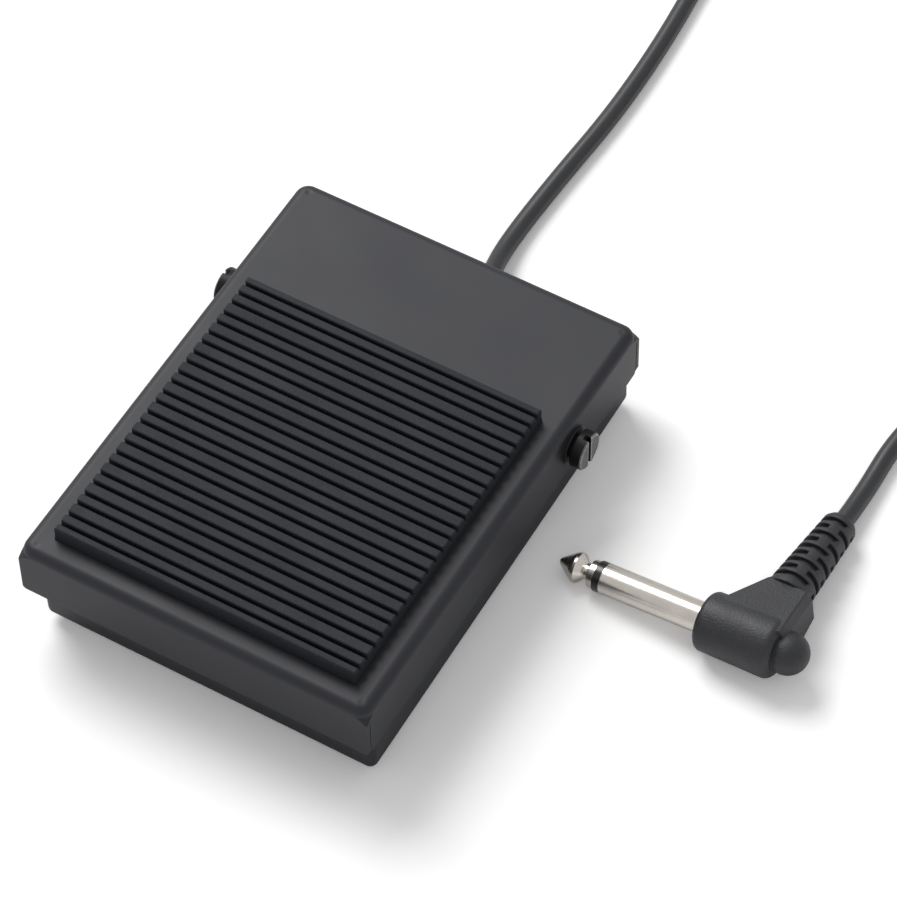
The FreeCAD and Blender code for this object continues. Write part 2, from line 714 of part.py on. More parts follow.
def spring_post():
    """The post under the lid that keeps the spring's top in place."""
    profile = [(-LID_SHEET, RIVET_RADIUS), (0, RIVET_RADIUS), (0, SEAT_RADIUS),
               (SEAT_SHEET, SEAT_RADIUS), (SEAT_SHEET, SEAT_BOSS_RADIUS),
               (SEAT_SHEET + SEAT_BOSS - 0.6, SEAT_BOSS_RADIUS),
               (SEAT_SHEET + SEAT_BOSS, SEAT_BOSS_RADIUS - 0.6)]
    return tilted(turned(profile, Vector(SPRING_X, SPRING_Y, LID_INNER), Vector(0, 0, -1)))


def pin_place():
    """The lever's pin in the Y, Z plane."""
    return SWITCH_Y + LEVER_PIN_BACK, SWITCH_TOP + LEVER_PIN_UP


def button_y():
    return pin_place()[0] - LEVER_ARM


def lever_top():
    """Height of the lever's upper face when it is pressed level."""
    return SWITCH_TOP + LEVER_ABOVE_CASE + LEVER_SHEET


def plunger_y():
    return pin_place()[0] - PLUNGER_FORWARD


def plunger_top():
    """Height of the plunger's top at rest, under the raised lever."""
    rise = PLUNGER_FORWARD * math.tan(math.radians(LEVER_TURN))
    return SWITCH_TOP + LEVER_ABOVE_CASE + rise - PLUNGER_GAP - PLUNGER_RADIUS * math.tan(
        math.radians(LEVER_TURN)) / 2


def actuator_button():
    """A domed nylon button under the lid that presses the lever."""
    tip = lever_top() + LEVER_ARM * math.tan(math.radians(LEVER_TURN)) + BUTTON_GAP
    height = lid_inner_height(button_y(), REST_TILT) - tip
    profile = [(-LID_SHEET, BUTTON_STEM_RADIUS), (0, BUTTON_STEM_RADIUS), (0, BUTTON_RADIUS),
               (height * 0.45, BUTTON_RADIUS), (height * 0.8, BUTTON_RADIUS * 0.72),
               (height, BUTTON_RADIUS * 0.25)]
    return tilted(turned(profile, Vector(0, button_y(), LID_INNER), Vector(0, 0, -1)))


def terminal_blades():
    """Common, idle and working terminals, through the floor of the switch case."""
    blades = []
    for k in (-1, 0, 1):
        y = SWITCH_Y + k * TERMINAL_SPACING
        rise = TERMINAL_RISE - (CONTACT_GAP, IDLE_DROP, 0)[k + 1]
        blades.append(box(-TERMINAL_WIDTH / 2, TERMINAL_WIDTH / 2, y - TERMINAL_SHEET / 2,
                          y + TERMINAL_SHEET / 2, SWITCH_BOTTOM - TERMINAL_DROP, SWITCH_BOTTOM + rise))
    return blades


def switch_holes():
    """Centres of the two mounting holes through the switch, in the Y, Z plane."""
    z = SWITCH_BOTTOM + SWITCH_HOLE_UP
    return [(SWITCH_Y + side * SWITCH_HOLE_SPACING / 2, z) for side in (-1, 1)]


def switch_case():
    """A hollow case with two mounting posts, a plunger hole and a boss for the lever's pin."""
    half_y = SWITCH_LENGTH / 2
    half_x = SWITCH_WIDTH / 2
    case = box(-half_x, half_x, SWITCH_Y - half_y, SWITCH_Y + half_y, SWITCH_BOTTOM, SWITCH_TOP)
    case = case.makeFillet(0.4, edges_near(case, lambda e, m: along(e, Vector(1, 0, 0))))
    hollow = box(-half_x + SWITCH_WALL, half_x - SWITCH_WALL, SWITCH_Y - half_y + SWITCH_WALL,
                 SWITCH_Y + half_y - SWITCH_WALL, SWITCH_BOTTOM + SWITCH_WALL, SWITCH_TOP - SWITCH_WALL)
    case = case.cut(hollow)
    pin_y, pin_z = pin_place()
    extras = [box(-LEVER_BOSS_WIDTH / 2, LEVER_BOSS_WIDTH / 2, pin_y - LEVER_BOSS_LENGTH / 2,
                  pin_y + LEVER_BOSS_LENGTH / 2, SWITCH_TOP - LAP, pin_z + LEVER_BOSS_LENGTH / 2)]
    holes = [rod(PLUNGER_RADIUS + RUNNING_GAP, Vector(0, plunger_y(), SWITCH_TOP - 2 * SWITCH_WALL),
                 Vector(0, plunger_y(), SWITCH_TOP + 1)),
             rod(LEVER_PIN_RADIUS, Vector(-half_x, pin_y, pin_z), Vector(half_x, pin_y, pin_z))]
    for y, z in switch_holes():
        extras.append(rod(SWITCH_POST_RADIUS, Vector(-half_x + LAP, y, z), Vector(half_x - LAP, y, z)))
        holes.append(rod(SWITCH_HOLE_RADIUS, Vector(-half_x - 1, y, z), Vector(half_x + 1, y, z)))
    return joined(case, *extras).cut(holes + terminal_blades())


def contact_blade():
    """The spring strip inside the switch, on top of the common terminal."""
    z = SWITCH_BOTTOM + TERMINAL_RISE
    y_end = SWITCH_Y + TERMINAL_SPACING + TERMINAL_SHEET / 2
    return box(-BLADE_WIDTH / 2, BLADE_WIDTH / 2, SWITCH_Y - TERMINAL_SPACING + 1, y_end, z, z + BLADE_SHEET)


def switch_plunger():
    """The button of the switch, with a flange that keeps it in the case."""
    top = plunger_top()
    under = SWITCH_TOP - SWITCH_WALL - RUNNING_GAP
    foot = SWITCH_BOTTOM + TERMINAL_RISE + BLADE_SHEET + 0.7
    profile = [(foot, PLUNGER_RADIUS * 0.6), (foot + 0.4, PLUNGER_RADIUS),
               (under - PLUNGER_FLANGE, PLUNGER_RADIUS), (under - PLUNGER_FLANGE, PLUNGER_FLANGE_RADIUS),
               (under, PLUNGER_FLANGE_RADIUS), (under, PLUNGER_RADIUS),
               (top - 0.3, PLUNGER_RADIUS), (top, PLUNGER_RADIUS * 0.5)]
    return turned(profile, Vector(0, plunger_y(), 0), Vector(0, 0, 1))


def switch_lever():
    """A steel strip with two ears on the pin and a turned up tip, raised to its rest angle."""
    pin_y, pin_z = pin_place()
    top = lever_top()
    half = LEVER_WIDTH / 2
    ear_front = pin_y - LEVER_BOSS_LENGTH / 2 - 0.5
    strip = box(-half, half, pin_y - LEVER_ARM - LEVER_TIP, ear_front, top - LEVER_SHEET, top)
    strip = strip.makeFillet(1.2, edges_near(strip, lambda e, m: along(e, Vector(0, 0, 1))
                                             and m.y < ear_front - 1))
    pieces = [strip]
    for side in (-1, 1):
        x0, x1 = sorted((side * half, side * (half - LEVER_SHEET)))
        ear = box(x0, x1, ear_front - 2, pin_y + 1.1, SWITCH_TOP + 0.22, pin_z + 0.9)
        pieces.append(ear)
    lever = joined(*pieces)
    lever = lever.cut(rod(LEVER_PIN_RADIUS + RUNNING_GAP, Vector(-half - 1, pin_y, pin_z),
                          Vector(half + 1, pin_y, pin_z)))
    lever.rotate(Vector(0, pin_y, pin_z), Vector(1, 0, 0), -LEVER_TURN)
    return lever


def lever_pin():
    pin_y, pin_z = pin_place()
    reach = LEVER_WIDTH / 2 + 0.3
    return rod(LEVER_PIN_RADIUS, Vector(-reach, pin_y, pin_z), Vector(reach, pin_y, pin_z))


def bracket_screw_places():
    x = BRACKET_X + BRACKET_SHEET + BRACKET_FOOT / 2
    return [(x, SWITCH_Y + side * BRACKET_SCREW_SPACING / 2) for side in (-1, 1)]


def clamp_place():
    return TRAY_BACK - TRAY_SHEET - CLAMP_IN - CLAMP_WIDTH / 2


def clamp_screw_place():
    return CLAMP_FOOT - M3_HEAD_RADIUS - 0.6, clamp_place()


def floor_screw_places():
    return bracket_screw_places() + [clamp_screw_place()]


def switch_bracket():
    """An angle bracket: an upright beside the switch and a foot screwed to the tray."""
    half = BRACKET_LENGTH / 2
    foot_top = TRAY_FLOOR + BRACKET_SHEET
    upright = box(BRACKET_X, BRACKET_X + BRACKET_SHEET, SWITCH_Y - half, SWITCH_Y + half,
                  TRAY_FLOOR, TRAY_FLOOR + BRACKET_RISE)
    foot = box(BRACKET_X, BRACKET_X + BRACKET_SHEET + BRACKET_FOOT, SWITCH_Y - half, SWITCH_Y + half,
               TRAY_FLOOR, foot_top)
    bracket = joined(upright, foot)
    corners = edges_near(bracket, lambda e, m: (abs(m.x - BRACKET_X - BRACKET_SHEET - BRACKET_FOOT) < 1e-6
                                                and along(e, Vector(0, 0, 1)))
                         or (abs(m.z - TRAY_FLOOR - BRACKET_RISE) < 1e-6 and along(e, Vector(1, 0, 0))))
    bracket = bracket.makeFillet(2.0, corners)
    cuts = []
    for y, z in switch_holes():
        cuts.append(rod(SWITCH_HOLE_RADIUS, Vector(BRACKET_X - 1, y, z), Vector(BRACKET_X + 3, y, z)))
    for x, y in bracket_screw_places():
        cuts.append(rod(M3_RADIUS, Vector(x, y, TRAY_FLOOR - 1), Vector(x, y, foot_top + 1)))
    return bracket.cut(cuts)


def pan_screw(radius, head_radius, head, length, start, axis):
    """A pan head screw with a slot; start is under its head and axis points down the shank."""
    profile = [(-head, head_radius * 0.72), (-head * 0.55, head_radius), (0, head_radius),
               (0, radius), (length - 0.3, radius), (length, radius - 0.3)]
    screw = turned(profile, start, axis)
    across = Vector(0, 1, 0)
    if abs(axis.z) < 0.5:
        across = Vector(0, 0, 1)
    side = axis.cross(across)
    slot = box(-2 * head_radius, 2 * head_radius, -DRIVE_WIDTH / 2, DRIVE_WIDTH / 2, 0, head)
    turn = Rotation(across, side, axis * -1, "ZXY")
    slot.Placement = Placement(start - axis * (head - DRIVE_DEPTH), turn)
    return screw.cut(slot)


def floor_screw(place, stack):
    """An M3 screw through the stack and the tray, its end level with the tray's underside."""
    x, y = place
    start = Vector(x, y, TRAY_FLOOR + stack)
    return pan_screw(M3_RADIUS, M3_HEAD_RADIUS, M3_HEAD, stack + TRAY_SHEET, start, Vector(0, 0, -1))


def bracket_screws():
    return Part.makeCompound([floor_screw(place, BRACKET_SHEET) for place in bracket_screw_places()])


def clamp_screw():
    return floor_screw(clamp_screw_place(), CLAMP_WALL)


def switch_screws():
    screws = []
    for y, z in switch_holes():
        start = Vector(-SWITCH_WIDTH / 2, y, z)
        length = SWITCH_WIDTH + BRACKET_SHEET + M23_NUT + 0.5
        screws.append(pan_screw(SWITCH_HOLE_RADIUS, M23_HEAD_RADIUS, M23_HEAD, length, start,
                                Vector(1, 0, 0)))
    return Part.makeCompound(screws)


def switch_nuts():
    nuts = []
    x = BRACKET_X + BRACKET_SHEET
    for y, z in switch_holes():
        nut = hexagon(M23_NUT_FLATS, M23_NUT, Vector(x, y, z), Vector(1, 0, 0))
        nuts.append(nut.cut(rod(SWITCH_HOLE_RADIUS, Vector(x - 1, y, z), Vector(x + M23_NUT + 1, y, z))))
    return Part.makeCompound(nuts)


def cord_grommet():
    """A rubber grommet in the back wall, closed round the lead and flattened on the tray's floor."""
    inside = TRAY_BACK - TRAY_SHEET
    profile = [(inside - GROMMET_FLANGE, GROMMET_RADIUS - 0.3),
               (inside - GROMMET_FLANGE + 0.3, GROMMET_RADIUS),
               (inside, GROMMET_RADIUS), (inside, GROMMET_NECK_RADIUS), (TRAY_BACK, GROMMET_NECK_RADIUS),
               (TRAY_BACK, GROMMET_RADIUS), (TRAY_BACK + GROMMET_FLANGE - 0.3, GROMMET_RADIUS),
               (TRAY_BACK + GROMMET_FLANGE, GROMMET_RADIUS - 0.3)]
    body = turned(profile, Vector(0, 0, EXIT_HEIGHT), Vector(0, 1, 0))
    bore = rod(CORD_RADIUS, Vector(0, inside - 5, EXIT_HEIGHT), Vector(0, LID_BACK + 5, EXIT_HEIGHT))
    return body.cut([bore, tray()])


def tail_end_y():
    return TRAY_BACK - TRAY_SHEET - TAIL_LENGTH


def cable_tail():
    """The jacketed lead inside the pedal, through the grommet and the clamp."""
    return rod(CORD_RADIUS, Vector(0, tail_end_y(), EXIT_HEIGHT), EXIT)


def cable_clamp():
    """A loop round the lead with a foot screwed to the tray."""
    y0 = clamp_place() - CLAMP_WIDTH / 2
    y1 = clamp_place() + CLAMP_WIDTH / 2
    loop = rod(EXIT_HEIGHT - TRAY_FLOOR, Vector(0, y0, EXIT_HEIGHT), Vector(0, y1, EXIT_HEIGHT))
    foot = box(0, CLAMP_FOOT, y0, y1, TRAY_FLOOR, TRAY_FLOOR + CLAMP_WALL)
    x, y = clamp_screw_place()
    cuts = [rod(CORD_RADIUS, Vector(0, y0 - 1, EXIT_HEIGHT), Vector(0, y1 + 1, EXIT_HEIGHT)),
            rod(M3_RADIUS, Vector(x, y, TRAY_FLOOR - 1), Vector(x, y, TRAY_FLOOR + 4))]
    return joined(loop, foot).cut(cuts)


def wire_common():
    """The core from the lead to the common terminal."""
    x = 0.9
    end_y = SWITCH_Y + TERMINAL_SPACING + TERMINAL_SHEET / 2
    z = SWITCH_BOTTOM - TERMINAL_DROP / 2
    points = [Vector(x, tail_end_y(), EXIT_HEIGHT), Vector(x, tail_end_y() - 8, EXIT_HEIGHT),
              Vector(x, end_y + 7, z), Vector(x, end_y, z)]
    return tube("wire_common", points, WIRE_RADIUS)


def wire_signal():
    """The core from the lead past the common terminal to the working terminal."""
    end_y = SWITCH_Y + TERMINAL_SHEET / 2
    z = SWITCH_BOTTOM - TERMINAL_DROP / 2
    clear = TERMINAL_WIDTH / 2 + WIRE_RADIUS + 1.0
    points = [Vector(-0.9, tail_end_y(), EXIT_HEIGHT), Vector(-0.9, tail_end_y() - 4, EXIT_HEIGHT),
              Vector(-clear, tail_end_y() - 13, z), Vector(-clear, SWITCH_Y + TERMINAL_SPACING - 1, z),
              Vector(-0.9, end_y + 2.6, z), Vector(-0.9, end_y, z)]
    return tube("wire_signal", points, WIRE_RADIUS)


def coil_place(turn):
    """The coil's centreline: layers spiral in and out, and climb where the spiral reverses."""
    layer_turns = COIL_TURNS / COIL_LAYERS
    layer = min(int(turn / layer_turns), COIL_LAYERS - 1)
    into = turn - layer * layer_turns
    if layer % 2 == 0:
        radius = COIL_OUTER - COIL_PITCH * into
    else:
        radius = COIL_OUTER - COIL_PITCH * (layer_turns - into)
    height = TIE_SHEET + TIE_GAP + CORD_RADIUS
    for k in range(1, COIL_LAYERS):
        share = min(max((turn - k * layer_turns) * 2 + 0.5, 0), 1)
        height += COIL_RISE * (share - math.sin(2 * math.pi * share) / (2 * math.pi))
    angle = 2 * math.pi * turn
    return Vector(COIL_X + radius * math.sin(angle), COIL_Y + radius * math.cos(angle), height)


def coil_tie():
    """A strap closed round all the turns on the coil's left."""
    inner_radius = COIL_OUTER - COIL_PITCH * COIL_TURNS / COIL_LAYERS
    near = inner_radius - CORD_RADIUS - TIE_SLACK - 0.5
    far = COIL_OUTER + CORD_RADIUS + TIE_SLACK
    bottom = TIE_SHEET
    top = bottom + CORD_RADIUS * 2 + COIL_RISE * (COIL_LAYERS - 1) + 2 * TIE_GAP
    y0 = COIL_Y - TIE_WIDTH / 2
    y1 = COIL_Y + TIE_WIDTH / 2

    def loop(grow):
        strap = box(COIL_X - far - grow, COIL_X - near + grow, y0, y1, bottom - grow, top + grow)
        return strap.makeFillet(2.0 + grow, edges_near(strap, lambda e, m: along(e, Vector(0, 1, 0))))

    outer = loop(TIE_SHEET)
    inner = loop(0)
    inner.translate(Vector(0, -0.5, 0))
    longer = loop(0)
    longer.translate(Vector(0, 0.5, 0))
    return outer.cut([inner, longer])


def plug_placed(shape):
    """A plug piece moved from its own frame: X from tip to knob, Y along the lead, Z up."""
    tilt = Placement(Vector(0, 0, 0), Rotation(Vector(0, 1, 0), -PLUG_TILT))
    yaw = Placement(PLUG_FACE, Rotation(Vector(0, 0, 1), PLUG_YAW))
    copy = shape.copy()
    copy.Placement = yaw.multiply(tilt).multiply(copy.Placement)
    return copy


def relief_frame():
    """Root and direction of the strain relief in the plug's frame."""
    droop = math.radians(RELIEF_DROOP)
    return Vector(RELIEF_OFFSET, BLOCK_REACH, 0), Vector(0, math.cos(droop), -math.sin(droop))


def relief_end():
    """Where the lead enters the strain relief, and the direction that it comes from."""
    root, axis = relief_frame()
    whole = Placement(PLUG_FACE, Rotation(Vector(0, 0, 1), PLUG_YAW)).multiply(
        Placement(Vector(0, 0, 0), Rotation(Vector(0, 1, 0), -PLUG_TILT)))
    end = whole.multVec(root + axis * RELIEF_LENGTH)
    return end, whole.Rotation.multVec(axis)


def plug_tip_level():
    tip = -SHANK_LENGTH
    profile = [(tip, 0.35), (tip + 0.25, 0.7), (tip + 3.2, 2.85), (tip + 3.8, 3.1), (tip + 4.4, 3.12),
               (tip + 5.9, 1.7), (tip + 6.7, 1.7), (tip + 7.2, 2.8), (tip + TIP_LENGTH, 2.9),
               (tip + TIP_LENGTH, ROD_RADIUS), (SHANK_IN_BODY + 3, ROD_RADIUS)]
    return turned(profile, Vector(0, 0, 0), Vector(1, 0, 0))


def plug_insulator_level():
    ring = -SHANK_LENGTH + TIP_LENGTH
    profile = [(ring, SHANK_RADIUS), (ring + INSULATOR, SHANK_RADIUS),
               (ring + INSULATOR, LINER_RADIUS), (SHANK_IN_BODY + 1, LINER_RADIUS)]
    solid = turned(profile, Vector(0, 0, 0), Vector(1, 0, 0))
    return solid.cut(rod(ROD_RADIUS, Vector(ring - 1, 0, 0), Vector(SHANK_IN_BODY + 5, 0, 0)))


def plug_sleeve_level():
    start = -SHANK_LENGTH + TIP_LENGTH + INSULATOR
    profile = [(start, SHANK_RADIUS), (0, SHANK_RADIUS), (0, SHANK_NECK_RADIUS), (1.0, SHANK_NECK_RADIUS),
               (1.0, SHANK_RADIUS + 1), (2.2, SHANK_RADIUS + 1), (2.2, SHANK_NECK_RADIUS),
               (SHANK_IN_BODY, SHANK_NECK_RADIUS)]
    solid = turned(profile, Vector(0, 0, 0), Vector(1, 0, 0))
    return solid.cut(rod(LINER_RADIUS, Vector(start - 1, 0, 0), Vector(SHANK_IN_BODY + 1, 0, 0)))


def block_section(y, left, right, half_height, drop):
    """One eight sided section of the plug's block across the lead, drop below the plug's axis."""
    low = -half_height - drop
    high = half_height - drop
    points = [(left + BLOCK_LEFT_CUT, low), (right - BLOCK_RIGHT_CUT, low), (right, low + BLOCK_BOTTOM_CUT),
              (right, high - BLOCK_TOP_CUT), (right - BLOCK_RIGHT_CUT, high), (left + BLOCK_LEFT_CUT, high),
              (left, high - BLOCK_LEFT_CUT), (left, low + BLOCK_LEFT_CUT)]
    corners = [Vector(x, y, height) for x, height in points]
    return Part.makePolygon(corners + corners[:1])


def plug_body_level():
    """The moulded body: a barrel round the shank, a tapering block to the lead and a round knob."""
    barrel = turned([(0, BODY_RADIUS), (BODY_LENGTH, BODY_BACK_RADIUS)], Vector(0, 0, 0), Vector(1, 0, 0))
    for place, rim in ((0, BODY_RIM), (BODY_LENGTH, BODY_BACK_RIM)):
        ends = edges_near(barrel, lambda e, m: abs(m.x - place) < 1e-6)
        barrel = barrel.makeFillet(rim, [end for end in ends if isinstance(end.Curve, Part.Circle)])
    right = BODY_LENGTH + BLOCK_BULGE
    root = block_section(0, BLOCK_SET_BACK, right + BLOCK_FLARE, BODY_RADIUS, 0)
    end = block_section(BLOCK_REACH, BLOCK_SET_BACK + BLOCK_TAPER, right, BLOCK_END_HALF_HEIGHT, BLOCK_DROP)
    block = Part.makeLoft([root, end], True, True)
    knob = Part.makeSphere(KNOB_RADIUS, Vector(BODY_LENGTH + KNOB_OUT, 0, 0))
    body = joined(barrel, block, knob)
    inside = [plug_tip_level(), plug_insulator_level(), plug_sleeve_level(),
              rod(ROD_RADIUS, Vector(0, 0, 0), Vector(SHANK_IN_BODY, 0, 0))]
    return body.cut(inside)


def plug_relief_level():
    """The strain relief: a tapered sleeve with slots whose bridges change sides."""
    root, axis = relief_frame()
    length = RELIEF_LENGTH
    taper = (RELIEF_ROOT_RADIUS - RELIEF_END_RADIUS) / length
    profile = [(-RELIEF_IN_BODY, RELIEF_ROOT_RADIUS), (0, RELIEF_ROOT_RADIUS),
               (length - 1.2, RELIEF_END_RADIUS + taper * 1.2), (length - 0.35, RELIEF_END_RADIUS - 0.4),
               (length, RELIEF_END_RADIUS - 1.0)]
    sleeve = turned(profile, Vector(0, 0, 0), Vector(1, 0, 0))
    cuts = []
    for k in range(RELIEF_SLOTS):
        start = length - RELIEF_CAP - RELIEF_PITCH * k
        core = RELIEF_END_RADIUS + taper * (length - start) - RELIEF_SLOT_DEPTH
        ring = rod(RELIEF_ROOT_RADIUS + 1, Vector(start - RELIEF_SLOT, 0, 0), Vector(start, 0, 0))
        ring = ring.cut(rod(core, Vector(start - RELIEF_SLOT - 1, 0, 0), Vector(start + 1, 0, 0)))
        bridge = box(start - RELIEF_SLOT - 1, start + 1, -8, 8, -1.1, 1.1)
        if k % 2 == 1:
            bridge = box(start - RELIEF_SLOT - 1, start + 1, -1.1, 1.1, -8, 8)
            bridge.rotate(Vector(0, 0, 0), Vector(1, 0, 0), 14)
        else:
            bridge.rotate(Vector(0, 0, 0), Vector(1, 0, 0), -24)
        cuts.append(ring.cut(bridge))
    sleeve = sleeve.cut(cuts)
    upright = Vector(1, 0, 0).cross(axis)
    sleeve.Placement = Placement(root, Rotation(axis, Vector(-1, 0, 0), upright, "XYZ"))
    return sleeve.cut(plug_body_level())


def vectors(points):
    return [Vector(*point) for point in points]


def cord_pieces():
    """The lead's two free stretches and its coil, end to end."""
    coil, coil_start, coil_end = wound("cord_coil", coil_place, COIL_TURNS, CORD_RADIUS, 2 * CORD_RADIUS)
    route = vectors(ROUTE_TO_COIL)
    first = EXIT - (route[0] - EXIT).normalize() * CORD_RADIUS
    near = [first] + route + [coil_start - Vector(COIL_LEAD_RUN, 0, 0), coil_start]
    plug_end, plug_axis = relief_end()
    far = [coil_end, coil_end - Vector(0, COIL_DROP_RUN, 0)] + vectors(ROUTE_TO_PLUG)
    far += [plug_end + plug_axis * PLUG_LEAD_RUN, plug_end]
    inside = box(-CORD_RADIUS * 2, CORD_RADIUS * 2, EXIT.y - CORD_RADIUS * 4, EXIT.y, 0, EXIT.z * 2)
    return coil, tube("cord_near", near, CORD_RADIUS).cut(inside), tube("cord_far", far, CORD_RADIUS)


def save(name, shape):
    """Write one piece as a STEP file."""
    solids = shape.Solids
    if not shape.isValid() or not solids:
        raise ValueError(name + " is not a valid solid")
    if len(solids) == 1:
        shape = solids[0]
    shape.exportStep("parts/" + name + ".step")
    span = shape.BoundBox
    print(name, len(solids), "volume", round(shape.Volume, 1),
          "x", round(span.XMin, 2), round(span.XMax, 2), "y", round(span.YMin, 2), round(span.YMax, 2),
          "z", round(span.ZMin, 2), round(span.ZMax, 2))


os.makedirs("parts", exist_ok=True)
coil, near, far = cord_pieces()
PIECES = {
    "base_tray": tray(),
    "rubber_feet": rubber_feet(),
    "toe_stops": toe_stops(),
    "back_stops": back_stops(),
    "pivot_screw_left": pivot_screw(-1),
    "pivot_screw_right": pivot_screw(1),
    "pivot_nuts": pivot_nuts(),
    "spring_seat": spring_seat(),
    "return_spring": return_spring(),
    "switch_bracket": switch_bracket(),
    "bracket_screws": bracket_screws(),
    "switch_case": switch_case(),
    "switch_terminals": Part.makeCompound(terminal_blades()),
    "contact_blade": contact_blade(),
    "lever_pin": lever_pin(),
    "switch_screws": switch_screws(),
    "switch_nuts": switch_nuts(),
    "cable_tail": cable_tail(),
    "cable_clamp": cable_clamp(),
    "clamp_screw": clamp_screw(),
    "wire_common": wire_common(),
    "wire_signal": wire_signal(),
    "pedal_lid": pedal_lid(),
    "tread_pad": tread_pad(),
    "pivot_bushes": pivot_bushes(),
    "spring_post": spring_post(),
    "actuator_button": actuator_button(),
    "switch_lever": switch_lever(),
    "switch_plunger": switch_plunger(),
    "cord_grommet": cord_grommet(),
    "cord_near": near,
    "cord_coil": coil,
    "coil_tie": coil_tie(),
    "cord_far": far,
    "plug_relief": plug_placed(plug_relief_level()),
    "plug_body": plug_placed(plug_body_level()),
    "plug_sleeve": plug_placed(plug_sleeve_level()),
    "plug_insulator": plug_placed(plug_insulator_level()),
    "plug_tip": plug_placed(plug_tip_level()),
}
for node, piece in PIECES.items():
    save(node, piece)
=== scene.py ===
"""A foot pedal switch: a sheet steel lid with a ribbed rubber tread rocks over a steel tray, and a lead
runs from it to a right-angled jack plug, with the spare lead wound and strapped behind it."""

import math

import bmesh
import bpy
from bpy.props import FloatProperty, FloatVectorProperty, IntProperty, PointerProperty
from mathutils import Matrix, Vector


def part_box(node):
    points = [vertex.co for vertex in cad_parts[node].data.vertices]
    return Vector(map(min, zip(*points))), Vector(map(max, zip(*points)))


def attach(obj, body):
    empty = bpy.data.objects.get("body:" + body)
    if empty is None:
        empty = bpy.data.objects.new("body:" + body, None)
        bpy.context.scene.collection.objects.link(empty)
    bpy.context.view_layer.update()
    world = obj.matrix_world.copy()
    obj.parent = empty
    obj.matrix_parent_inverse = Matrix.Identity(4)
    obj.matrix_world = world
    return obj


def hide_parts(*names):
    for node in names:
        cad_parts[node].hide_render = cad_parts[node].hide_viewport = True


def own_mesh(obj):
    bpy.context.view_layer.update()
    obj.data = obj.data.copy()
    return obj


bl_info = {
    "name": "Foot Pedal Switch",
    "version": (1, 0, 0),
    "blender": (4, 5, 0),
    "location": "View3D > Sidebar > Foot Pedal",
    "description": "Finishes a foot pedal switch, lays its lead and sets a studio round it",
    "category": "Add Mesh",
}

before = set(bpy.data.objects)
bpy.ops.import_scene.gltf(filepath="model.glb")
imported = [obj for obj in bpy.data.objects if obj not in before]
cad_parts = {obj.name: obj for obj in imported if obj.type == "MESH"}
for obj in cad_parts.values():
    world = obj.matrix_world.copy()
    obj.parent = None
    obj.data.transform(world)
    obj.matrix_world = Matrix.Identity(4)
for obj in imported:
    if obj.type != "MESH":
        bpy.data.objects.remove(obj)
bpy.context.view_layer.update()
MM = 0.001

# Most of a noise texture's values lie between these two
NOISE_ENDS = (0.3, 0.7)
MOST_OF_NOISE = {"From Min": NOISE_ENDS[0], "From Max": NOISE_ENDS[1]}
EDGE_SAMPLES = 6
BARE_STEEL = "#d9d9d8"

# The lead's control points in millimetres, from the grommet to the coil and from the coil to the plug
ROUTE_TO_COIL = [
    (0, 52.7, 6.2),
    (-0.8, 60.5, 5.4),
    (-3.35, 72.0, 2.05),
    (-2.45, 92.0, 2.05),
    (-0.65, 114.0, 2.05),
    (-1.05, 138.0, 2.05),
    (-3.4, 162.0, 2.05),
    (7.6, 187.0, 2.05),
    (31.5, 202.5, 2.1),
    (61.0, 206.84, 2.75),
]
ROUTE_TO_PLUG = [
    (116.84, 158.0, 16.1),
    (115.2, 141.0, 7.6),
    (112.6, 124.0, 2.05),
    (105.1, 104.0, 2.05),
    (93.8, 86.0, 2.05),
    (89.2, 68.0, 2.05),
    (89.67, 51.63, 2.09),
    (89.464, 43.249, 3.504),
]


def linear(code):
    """The linear red, green and blue of an sRGB hex colour."""
    shares = [int(code[k : k + 2], 16) / 255 for k in (1, 3, 5)]
    return [s / 12.92 if s <= 0.04045 else ((s + 0.055) / 1.055) ** 2.4 for s in shares]


def colour(code, name, description):
    """A colour setting whose default is an sRGB hex colour."""
    return FloatVectorProperty(
        name=name, description=description, default=linear(code), subtype="COLOR", min=0, max=1
    )


def length(mm, name, description):
    """A length setting whose default is given in millimetres."""
    return FloatProperty(
        name=name, description=description, default=mm * MM, unit="LENGTH", precision=5, min=0
    )


class LeadSizes(bpy.types.PropertyGroup):
    """Sizes of the lead and its coil"""

    diameter: length(4.0, "Diameter", "Outside diameter of the lead's sheath")
    length: length(2490, "Length", "Whole length of the lead, from the pedal to the plug")
    coil_x: length(85.0, "Coil X", "Middle of the coil, to the right of the pedal's middle")
    coil_y: length(175.0, "Coil Y", "Middle of the coil, behind the pedal's middle")
    coil_start: length(2.75, "Coil Start", "Height of the lead's middle in the lowest turns")
    coil_outer: length(31.75, "Coil Radius", "Radius of the coil's outer turn")
    coil_pitch: length(4.5, "Coil Pitch", "Distance from one turn to the turn beside it")
    coil_rise: length(4.45, "Coil Rise", "Distance from one layer of turns to the next")
    coil_turns: FloatProperty(name="Turns", description="Turns in the coil", default=14.25, min=1)
    coil_layers: IntProperty(name="Layers", description="Layers in the coil", default=4, min=1)
    turn_points: IntProperty(
        name="Points per Turn", description="Control points in one turn", default=16, min=12
    )


class SpringSizes(bpy.types.PropertyGroup):
    """How the return spring flexes"""

    shortening: length(3.05, "Shortening", "How much shorter the spring is with the pedal down")


